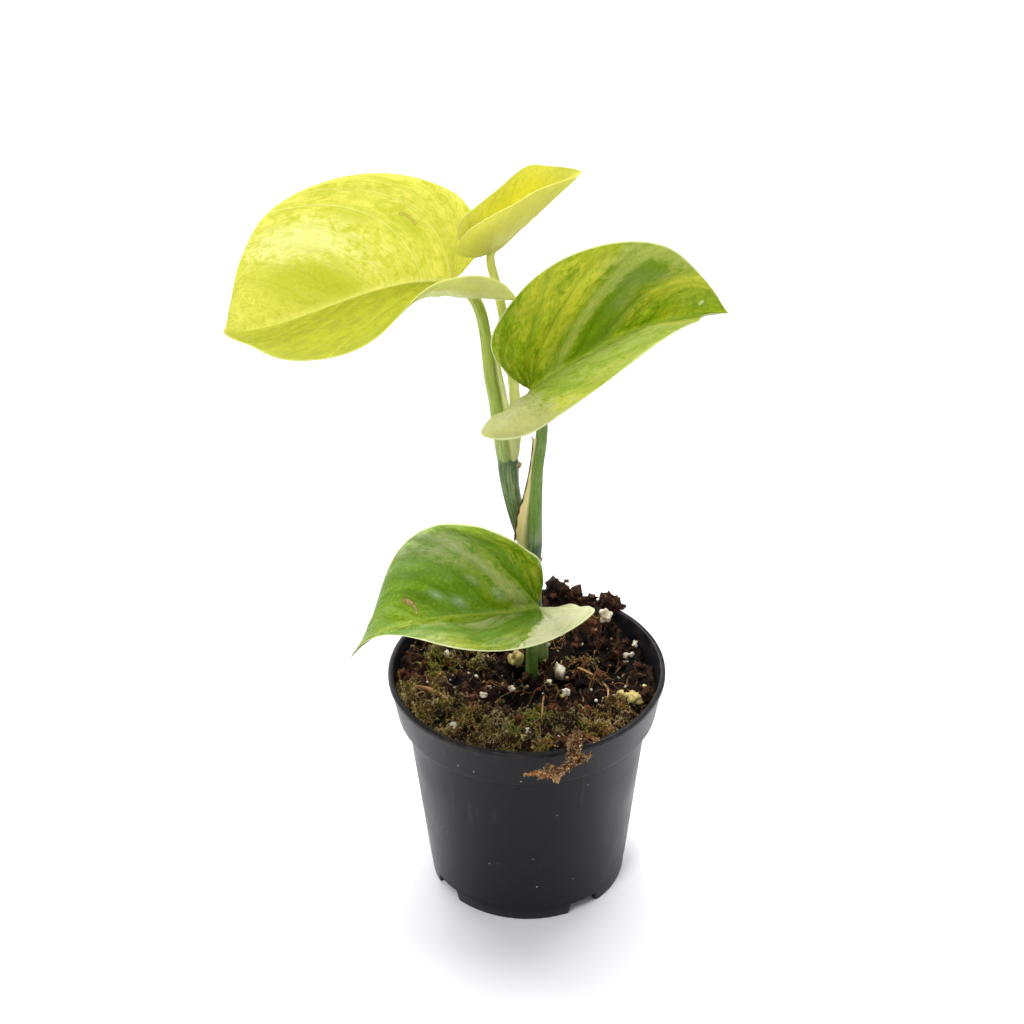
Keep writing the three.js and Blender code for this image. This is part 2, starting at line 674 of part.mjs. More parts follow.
// A blade: spokes from its base to the points of its outline, alike on both faces.
function bladeSolid(leaf, thickness = BLADE_THICKNESS) {
  const left = halfOutline(leaf, leaf.left).map((point) => [1, point.x, point.y]);
  const right = halfOutline(leaf, leaf.right).map((point) => [-1, point.x, point.y]);
  const rim = [...left, ...right.reverse().slice(1)];
  const { radial } = BLADE_STEPS;
  const faces = [[], []];
  const addPoint = (sideSign, along, across) => {
    const { place, normal } = bladePoint(leaf, sideSign, along, across);
    faces[0].push(place.clone().addScaledVector(normal, thickness / 2));
    faces[1].push(place.clone().addScaledVector(normal, -thickness / 2));
  };
  addPoint(1, 0, 0);
  for (const [sideSign, along, across] of rim) {
    for (let k = 1; k <= radial; k += 1) addPoint(sideSign, (along * k) / radial, (across * k) / radial);
  }
  const count = faces[0].length;
  const at = (spoke, k) => (k === 0 ? 0 : 1 + spoke * radial + k - 1);
  const triangles = [];
  const addPair = (a, b, c) => triangles.push([a, b, c], [a + count, c + count, b + count]);
  for (let spoke = 0; spoke < rim.length - 1; spoke += 1) {
    addPair(0, at(spoke + 1, 1), at(spoke, 1));
    for (let k = 1; k < radial; k += 1) {
      addPair(at(spoke, k), at(spoke + 1, k), at(spoke + 1, k + 1));
      addPair(at(spoke, k), at(spoke + 1, k + 1), at(spoke, k + 1));
    }
  }
  const edge = [0];
  for (let k = 1; k <= radial; k += 1) edge.push(at(0, k));
  for (let spoke = 1; spoke < rim.length; spoke += 1) edge.push(at(spoke, radial));
  for (let k = radial - 1; k >= 1; k -= 1) edge.push(at(rim.length - 1, k));
  edge.forEach((a, i) => {
    const b = edge[(i + 1) % edge.length];
    triangles.push([a, b, b + count], [a, b + count, a + count]);
  });
  return solidFrom(meshGeometry([...faces[0], ...faces[1]], triangles));
}

function tuftSolid(growth = 0) {
  const branches = TUFT.map((branch) => stalkSolid(branch, { sides: 7, growth }));
  return branches.reduce((sum, branch) => sum.add(branch));
}

const MATERIALS = {
  plastic: new THREE.MeshStandardMaterial({ color: 0x2b2b2d, roughness: 0.45 }),
  soil: new THREE.MeshStandardMaterial({ color: 0x3b2a1e, roughness: 0.95 }),
  stem: new THREE.MeshStandardMaterial({ color: 0x4f7551, roughness: 0.5 }),
  stalk: new THREE.MeshStandardMaterial({ color: 0x9bb457, roughness: 0.5 }),
  youngLeaf: new THREE.MeshStandardMaterial({ color: 0xd9df5f, roughness: 0.45 }),
  leaf: new THREE.MeshStandardMaterial({ color: 0x6f9c34, roughness: 0.4 }),
  moss: new THREE.MeshStandardMaterial({ color: 0x8b6a35, roughness: 0.95 }),
};
const LEAF_MATERIALS = {
  leaf_upper_left: MATERIALS.youngLeaf,
  leaf_top: MATERIALS.youngLeaf,
  leaf_right: MATERIALS.leaf,
  leaf_lower_left: MATERIALS.leaf,
};

const plant = new THREE.Group();

function addNode(name, solid, material) {
  const mesh = new THREE.Mesh(geometryFrom(solid), material);
  mesh.name = name;
  plant.add(mesh);
}

// Stalks are cut clear of the stem, of the blades and of the stalks before them.
function petioleSolids() {
  const solids = {};
  const before = [stemSolid(GAP)];
  for (const [name, stalk] of Object.entries(STALKS)) {
    const blade = bladeSolid(LEAVES[stalk.leaf], BLADE_THICKNESS + 2 * GAP);
    const cuts = [...before, blade];
    solids[name] = largestBody(cuts.reduce((rest, cut) => rest.subtract(cut), petioleSolid(stalk)));
    before.push(petioleSolid(stalk, GAP));
  }
  return solids;
}

const petioles = petioleSolids();
const soilHoles = [
  potShell(GAP),
  stemSolid(SOIL.stemHoleGap),
  petioleSolid(STALKS.petiole_lower_left, SOIL.stemHoleGap),
  tuftSolid(GAP),
];
addNode('pot', potSolid(), MATERIALS.plastic);
addNode('soil', soilSolid(soilHoles), MATERIALS.soil);
addNode('main_stem', stemSolid(), MATERIALS.stem);
for (const [name, solid] of Object.entries(petioles)) addNode(name, solid, MATERIALS.stalk);
for (const [name, leaf] of Object.entries(LEAVES)) addNode(name, bladeSolid(leaf), LEAF_MATERIALS[name]);
addNode('dried_moss_tuft', largestBody(tuftSolid().subtract(potShell(GAP))), MATERIALS.moss);

const box = new THREE.Box3().setFromObject(plant);
const middle = box.getCenter(vector(0, 0, 0));
plant.position.set(-middle.x, -middle.y, -box.min.z);

export default plant;
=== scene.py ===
# Looks of the potted manjula golden pothos. Places are in millimetres from the pot's axis at table
# height, as in the part's source, with -Y to the front, and to_frame turns them into the frame's metres.
import math
import random
from collections import namedtuple

import bmesh
import bpy
import numpy as np
from mathutils import Matrix, Vector, noise
from mathutils.geometry import delaunay_2d_cdt


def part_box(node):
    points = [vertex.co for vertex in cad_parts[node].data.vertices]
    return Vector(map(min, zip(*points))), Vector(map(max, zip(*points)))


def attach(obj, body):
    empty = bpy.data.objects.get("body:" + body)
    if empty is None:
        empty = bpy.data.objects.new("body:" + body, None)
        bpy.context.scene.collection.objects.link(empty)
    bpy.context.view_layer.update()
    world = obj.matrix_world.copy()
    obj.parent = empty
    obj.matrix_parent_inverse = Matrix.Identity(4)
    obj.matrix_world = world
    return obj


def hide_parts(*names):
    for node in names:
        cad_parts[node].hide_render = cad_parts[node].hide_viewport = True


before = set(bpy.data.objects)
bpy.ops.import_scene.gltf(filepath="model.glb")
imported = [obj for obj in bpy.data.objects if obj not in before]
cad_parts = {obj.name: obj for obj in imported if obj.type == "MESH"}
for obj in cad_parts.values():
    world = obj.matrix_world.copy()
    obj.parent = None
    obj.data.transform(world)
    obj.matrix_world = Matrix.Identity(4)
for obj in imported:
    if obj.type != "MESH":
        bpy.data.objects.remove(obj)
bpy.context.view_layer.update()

MM = 0.001
pot_low, pot_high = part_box("pot")
AXIS = ((pot_low[0] + pot_high[0]) / 2, (pot_low[1] + pot_high[1]) / 2)

# The camera that took the photograph: place, pitch and roll, and the focal length in pixels.
IMAGE_WIDTH = 1024
CAMERA_PLACE = (-2.83, -456.3, 393.6)
CAMERA_PITCH_DEGREES = 33.34
CAMERA_ROLL_DEGREES = -0.56
CAMERA_FOCAL_PIXELS = 2628
SENSOR_MM = 36

# The pot, as in the part's source.
POT = dict(
    rim_radius=30, height=53.1, lip_height=1.2, lip_width=1.1,
    collar_top_radius=29.6, collar_foot_radius=28.2, collar_height=9.9, step_rise=0.3,
    body_top_radius=26.3, base_radius=21.5, wall=0.8, foot_width=1.2,
    floor_height=2.8, floor_thickness=1,
)
FEET = dict(count=4, notch_height=2.6, notch_width=8.2, notch_width_at_top=6.4, first_degrees=-56)
DRAIN = dict(count=5, hole_radius=2.2, ring_radius=12.5)

# The blades, as in the part's source but for the tail of the lower left one, which is drawn out more
# evenly. Headings, pitches, folds and curls are in degrees at the base, the middle and the tip. Lobe,
# belly, shoulder and tip shape the outline below. Sweep and bulge are of the veins: where the fan's last
# one ends along the midrib, and how far it bends.
BLADE_THICKNESS = 0.5
RIM_THICKNESS = 0.16
FOLD_REACH = 1.6
STRAIGHT = 1e-6
FURTHEST_BEHIND = -0.25
MIDRIB_PIECES = 200
MARGIN_STEPS = 24
Leaf = namedtuple("Leaf", "base length heading pitch left right")
Half = namedtuple("Half", "width fold curl lobe belly shoulder tip sweep bulge")
LEAVES = {
    "leaf_upper_left": Leaf(
        base=(-14.5, 0.9, 147.2), length=48, heading=(172, 187, 152), pitch=(4, -19, -11.5),
        left=Half(width=22.3, fold=(5, 7, 4), curl=(60, -16, -7), lobe=0.29,
                  belly=0.06, shoulder=1, tip=0, sweep=0.42, bulge=0.2),
        right=Half(width=23.5, fold=(80, 70, 86), curl=(8, -3, 7), lobe=0.11,
                   belly=0.02, shoulder=0.88, tip=0.9, sweep=0.5, bulge=0.4),
    ),
    "leaf_top": Leaf(
        base=(-7.3, -0.6, 154.8), length=24.6, heading=(27, 18, -8), pitch=(18, 38.5, 41.5),
        left=Half(width=10.8, fold=(84, 87, 67), curl=(2, 22, 13), lobe=0.16,
                  belly=0.09, shoulder=1, tip=0.5, sweep=0.45, bulge=0.25),
        right=Half(width=12, fold=(70, 57, 50), curl=(2, 3, 11), lobe=0.25,
                   belly=0.02, shoulder=1, tip=0.2, sweep=0.45, bulge=0.25),
    ),
    "leaf_right": Leaf(
        base=(1.5, -0.5, 123), length=49, heading=(22, 30.5, 30.5), pitch=(29, 6, -20.5),
        left=Half(width=22.7, fold=(97, 84, 90), curl=(0, -1.5, 12), lobe=0.05,
                  belly=0.04, shoulder=1, tip=0.2, sweep=0.5, bulge=0.15),
        right=Half(width=23.2, fold=(50, 33, 12), curl=(-75, -12, -3), lobe=0.28,
                   belly=0.07, shoulder=1, tip=-0.7, sweep=0.45, bulge=0.25),
    ),
    "leaf_lower_left": Leaf(
        base=(2.5, -2.8, 71.2), length=44.5, heading=(191.5, 179, 172.5), pitch=(-8, -8.7, -64),
        left=Half(width=21, fold=(16, 18, 28), curl=(2, -3, 0), lobe=0.24,
                  belly=0, shoulder=1, tip=-0.75, sweep=0.45, bulge=0.25),
        right=Half(width=21, fold=(88, 44.5, -15), curl=(19, 20, -19), lobe=0.05,
                   belly=0.02, shoulder=0.86, tip=0.5, sweep=0.45, bulge=0.22),
    ),
}
# Half of a heart-shaped outline, as in the part's source: along the midrib in lengths (behind the base
# in lobe depths), across in widths, then how far a half's belly and shoulder move the point, and how far
# its tip does, where it is fuller and where it is narrower.
HALF_OUTLINE = (
    (-0.42, 0.09, 0, 0, 0, 0),
    (-1, 0.4, 0, 1, 0, 0),
    (-0.5, 0.78, 0, 1, 0, 0),
    (0.14, 0.99, 1, 0.5, 0, 0),
    (0.38, 0.93, 1, 0, 0.08, 0.08),
    (0.62, 0.68, 1, 0, 0.35, 0.55),
    (0.83, 0.3, 0, 0, 1.1, 1.1),
    (0.94, 0.09, 0, 0, 2, 1.2),
    (1, 0, 0, 0, 0, 0),
)


def to_frame(points):
    """Points in millimetres from the pot's axis, in the frame's metres."""
    return np.asarray(points, float) * MM + np.array((AXIS[0], AXIS[1], 0))


def paint(red, green, blue):
    """A colour as the eye reads it, from 0 to 255, in the linear values that shaders take."""
    def linear(c):
        c = c / 255
        return c / 12.92 if c <= 0.04045 else ((c + 0.055) / 1.055) ** 2.4
    return (linear(red), linear(green), linear(blue), 1)


def station(values, x):
    """Value at x from 0 to 1 of the parabola through values at the base, the middle and the tip."""
    base, middle, tip = values
    return base * (1 - x) * (1 - 2 * x) + middle * 4 * x * (1 - x) + tip * x * (2 * x - 1)


def smooth(edge0, edge1, x):
    """0 below edge0, 1 above edge1, eased between."""
    t = np.clip((x - edge0) / (edge1 - edge0), 0, 1)
    return t * t * (3 - 2 * t)


def circle(radius, count, x=0.0, y=0.0):
    """Places round a circle."""
    turns = [2 * math.pi * k / count for k in range(count)]
    return [(x + radius * math.cos(turn), y + radius * math.sin(turn)) for turn in turns]


def place_within(draw, reach, x=0.0, y=0.0):
    """A place drawn by chance from a round area."""
    angle, radius = draw.uniform(0, 2 * math.pi), reach * math.sqrt(draw.random())
    return x + radius * math.cos(angle), y + radius * math.sin(angle)


class Value:
    """A node's output, which can be added to, taken from and multiplied."""

    def __init__(self, shader, socket):
        self.shader, self.socket = shader, socket

    def __add__(self, other):
        return self.shader.math("ADD", self, other)

    def __sub__(self, other):
        return self.shader.math("SUBTRACT", self, other)

    def __mul__(self, other):
        return self.shader.math("MULTIPLY", self, other)


class Shader:
    """A node material under construction. Each method adds nodes and gives the last one's output. A
    colour is given as the eye reads it, in three values from 0 to 255."""

    def __init__(self, name):
        self.material = bpy.data.materials.new(name)
        self.material.use_nodes = True
        self.tree = self.material.node_tree
        self.tree.nodes.clear()
        self.place = self.value("TexCoord", output="Object")

    def node(self, kind, inputs=(), **settings):
        made = self.tree.nodes.new("ShaderNode" + kind)
        for key, value in settings.items():
            setattr(made, key, value)
        for key, value in dict(inputs).items():
            socket = made.inputs[key]
            if isinstance(value, Value):
                self.tree.links.new(value.socket, socket)
            else:
                socket.default_value = paint(*value) if socket.type == "RGBA" else value
        return made

    def value(self, kind, inputs=(), output=0, **settings):
        return Value(self, self.node(kind, inputs, **settings).outputs[output])

    def attribute(self, name):
        return self.value("Attribute", output="Fac", attribute_name=name)

    def uv(self, name):
        split = self.node("SeparateXYZ", {0: self.value("UVMap", uv_map=name)})
        return Value(self, split.outputs[0]), Value(self, split.outputs[1])

    def height(self):
        return self.value("SeparateXYZ", {0: self.place}, 2)

    def math(self, operation, a, b=0.0):
        return self.value("Math", {0: a, 1: b}, operation=operation)

    def off_whole(self, value):
        """How far a value is from the nearest whole number."""
        return self.math("ABSOLUTE", value - self.math("ROUND", value))

    def vector(self, x, y, z=0.0):
        return self.value("CombineXYZ", {0: x, 1: y, 2: z})

    def scaled(self, vector, factors):
        return self.value("VectorMath", {0: vector, 1: factors}, operation="MULTIPLY")

    def noise(self, vector, scale, detail=3, roughness=0.55, distortion=0):
        inputs = {"Vector": vector, "Scale": scale, "Detail": detail}
        return self.value("TexNoise", {**inputs, "Roughness": roughness, "Distortion": distortion}, "Fac")

    def voronoi(self, vector, scale, feature="F1"):
        return self.value("TexVoronoi", {"Vector": vector, "Scale": scale}, "Distance", feature=feature)

    def step(self, value, low, high, out_low=0.0, out_high=1.0):
        inputs = {0: value, 1: low, 2: high, 3: out_low, 4: out_high}
        return self.value("MapRange", inputs, interpolation_type="SMOOTHSTEP")

    def mix(self, factor, a, b):
        return self.value("Mix", {0: factor, 6: a, 7: b}, 2, data_type="RGBA")

    def ramp(self, factor, stops):
        made = self.node("ValToRGB", {0: factor})
        elements = made.color_ramp.elements
        while len(elements) < len(stops):
            elements.new(0.5)
        for element, (position, colour) in zip(elements, stops):
            element.position = position
            element.color = paint(*colour)
        return Value(self, made.outputs[0])

    def bump(self, height, distance_mm, strength):
        return self.value("Bump", {"Height": height, "Distance": distance_mm * MM, "Strength": strength})

    def finish(self, colour, roughness, bump=None, specular=0.5, glow=0):
        """The material. With a glow, that share of the light comes through."""
        inputs = {"Base Color": colour, "Roughness": roughness, "Specular IOR Level": specular}
        if bump:
            inputs["Normal"] = bump
        surface = self.value("BsdfPrincipled", inputs)
        if glow:
            light = self.value("BsdfTranslucent", {"Color": colour, "Normal": bump})
            surface = self.value("MixShader", {0: glow, 1: surface, 2: light})
        self.node("OutputMaterial", {"Surface": surface})
        return self.material


def add_mesh(name, points_mm, faces, material, replaced=()):
    """A new piece of the object from points in millimetres and faces of point numbers."""
    mesh = bpy.data.meshes.new(name)
    mesh.from_pydata(to_frame(points_mm).tolist(), [], faces)
    mesh.validate(clean_customdata=False)
    mesh.polygons.foreach_set("use_smooth", [True] * len(mesh.polygons))
    mesh.materials.append(material)
    piece = bpy.data.objects.new(name, mesh)
    bpy.context.scene.collection.objects.link(piece)
    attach(piece, "root")
    if replaced:
        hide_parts(*replaced)
    return piece


def set_points(piece, name, values):
    """A value for each point of a piece, which its material reads by name."""
    layer = piece.data.attributes.new(name, "FLOAT", "POINT")
    layer.data.foreach_set("value", np.asarray(values, np.float32))


def set_corners(piece, name, pairs):
    """A pair of values for each face corner, as a UV map."""
    layer = piece.data.uv_layers.new(name=name)
    layer.data.foreach_set("uv", np.asarray(pairs, np.float32).ravel())


# The blades' surface
def catmull_rom(points, steps):
    points = np.asarray(points, float)
    made = []
    for i in range(len(points) - 1):
        start, end = points[i], points[i + 1]
        before = points[i - 1] if i else 2 * start - end
        after = points[i + 2] if i + 2 < len(points) else 2 * end - start
        t = np.linspace(0, 1, steps, endpoint=False)[:, None]
        made.append(
            (-0.5 * t**3 + t**2 - 0.5 * t) * before + (1.5 * t**3 - 2.5 * t**2 + 1) * start
            + (-1.5 * t**3 + 2 * t**2 + 0.5 * t) * end + (0.5 * t**3 - 0.5 * t**2) * after
        )
    made.append(points[-1:])
    return np.concatenate(made)


def half_outline(leaf, half):
    """The margin of one half as distances along and from the midrib, from the sinus to the tip."""
    controls = []
    for along, across, belly, shoulder, fuller, narrower in HALF_OUTLINE:
        along = along * half.lobe if along < 0 else along + belly * half.belly
        shoulder = 1 + shoulder * (half.shoulder - 1)
        tip = 1 + (fuller if half.tip > 0 else narrower) * half.tip
        controls.append((along * leaf.length, across * shoulder * tip * half.width))
    return catmull_rom(controls, MARGIN_STEPS)


def arc(start, rate, length):
    """Run and rise of an arc that turns by a rate per millimetre."""
    turn = np.where(np.abs(rate) < STRAIGHT, STRAIGHT, rate)
    end = start + turn * length
    return (np.sin(end) - np.sin(start)) / turn, (np.cos(start) - np.cos(end)) / turn


def directions(leaf, x):
    """A midrib's directions at shares of its length: along, level left and up."""
    heading, pitch = np.radians(station(leaf.heading, x)), np.radians(station(leaf.pitch, x))
    tangent = np.stack([np.cos(heading) * np.cos(pitch), np.sin(heading) * np.cos(pitch), np.sin(pitch)], -1)
    level = np.stack([-np.sin(heading), np.cos(heading), np.zeros_like(heading)], -1)
    return tangent, level, np.cross(tangent, level)


def midrib(leaf, along):
    """Centres of a blade's midrib at distances along it, with its directions level left and up."""
    along = np.asarray(along, float)
    x = np.linspace(0, 1, MIDRIB_PIECES + 1)
    tangents = directions(leaf, x)[0]
    steps = (tangents[1:] + tangents[:-1]) / 2 * leaf.length / MIDRIB_PIECES
    line = np.concatenate([[[0, 0, 0]], np.cumsum(steps, 0)]) + np.array(leaf.base)
    reached = np.clip(along / leaf.length, 0, 1)
    centre = np.stack([np.interp(reached, x, line[:, k]) for k in range(3)], -1)
    tangent, level, up = directions(leaf, reached)
    return centre + np.minimum(along, 0)[..., None] * tangent, level, up


def blade_surface(leaf, side, along, across):
    """Points of a blade's middle surface at distances along and from the midrib. side is 1 on the left."""
    half = leaf.left if side > 0 else leaf.right
    centre, level, up = midrib(leaf, along)
    x = np.clip(along / leaf.length, FURTHEST_BEHIND, 1)
    fold, curl = np.radians(station(half.fold, x)), np.radians(station(half.curl, x))
    tilt = side * np.radians(station(leaf.left.fold, x) - station(leaf.right.fold, x)) / 2
    run, rise = arc(tilt, (fold - tilt) / FOLD_REACH, np.minimum(across, FOLD_REACH))
    more_run, more_rise = arc(fold, curl / (half.width - FOLD_REACH), np.maximum(across - FOLD_REACH, 0))
    return centre + side * (run + more_run)[..., None] * level + (rise + more_rise)[..., None] * up


# The veins of a blade. From the base they fan out into the lobe, and further on they leave the midrib
# one by one and sweep towards the tip. Each line of the blade's mesh runs along one of them.
FAN_ROWS = 110
FAN_VEINS = 4
MIDRIB_ROWS = 110
VEIN_STEPS = 44
SWEEP_POWER = 2.2
VEIN_SPACING = 0.115
STEP_SHARES = np.linspace(0, 1, VEIN_STEPS + 1)
# In shares: where the fan's veins begin to bend and the midrib's begin to straighten, where the lines start
# to even out towards the tip and are even, how much height the midrib loses and from where it fades out.
FAN_BENDS_FROM = 0.1
MIDRIB_STRAIGHTENS_FROM = 0.3
TAIL_FROM, TAIL_EVEN = 0.25, 0.7
RIB_LOSS = 0.7
RIB_ENDS_FROM = 0.85


def vein_rows(leaf, half):
    """The mesh lines of one half, the fan's, then the midrib's: along, across, the half's width beside each
    point, vein numbers and lengths."""
    margin = half_outline(leaf, half)
    travelled = np.concatenate([[0], np.cumsum(np.linalg.norm(np.diff(margin, axis=0), axis=1))])
    widest = int(np.argmax(margin[:, 1]))
    starts = np.linspace(0, 1, MIDRIB_ROWS + 1)[1:]
    end_along = (half.sweep + (1 - half.sweep) * (1 - (1 - starts) ** SWEEP_POWER)) * leaf.length
    fan_end = np.interp(half.sweep * leaf.length, margin[widest:, 0], travelled[widest:])
    end_travelled = np.interp(end_along, margin[widest:, 0], travelled[widest:])
    reached = np.concatenate([np.linspace(0, fan_end, FAN_ROWS), end_travelled])
    ends = np.stack([np.interp(reached, travelled, margin[:, k]) for k in (0, 1)], -1)
    roots = np.concatenate([np.zeros(FAN_ROWS), starts * leaf.length])
    number = np.concatenate([np.linspace(0, FAN_VEINS, FAN_ROWS), FAN_VEINS + starts / VEIN_SPACING])
    fan_rise = smooth(FAN_BENDS_FROM, 1, np.linspace(0, 1, FAN_ROWS))
    rise = np.concatenate([fan_rise, 1 - smooth(MIDRIB_STRAIGHTENS_FROM, 1, starts)])
    start = np.stack([roots, np.zeros_like(roots)], -1)
    chord = ends - start
    bulge = half.bulge * rise
    control = start + chord / 2 + bulge[:, None] * np.stack([-chord[:, 1], chord[:, 0]], -1)
    r = STEP_SHARES[None, :, None]
    lines = (1 - r) ** 2 * start[:, None] + 2 * r * (1 - r) * control[:, None] + r**2 * ends[:, None]
    along, across = lines[..., 0], lines[..., 1]
    # past the widest place no line leaves the outline, and near the tip they share its width evenly
    width = np.interp(along, margin[widest:, 0], margin[widest:, 1])
    tail = np.concatenate([np.zeros(FAN_ROWS), smooth(TAIL_FROM, TAIL_EVEN, starts)])[:, None]
    across = np.minimum(across + (r[..., 0] * width - across) * tail, width)
    return along, across, width, number, np.linalg.norm(chord, axis=1)


def rib_share(share):
    """How much of the midrib's height is left at a share of the blade's length."""
    return (1 - RIB_LOSS * np.clip(share, 0, 1)) * (1 - smooth(RIB_ENDS_FROM, 1, share))


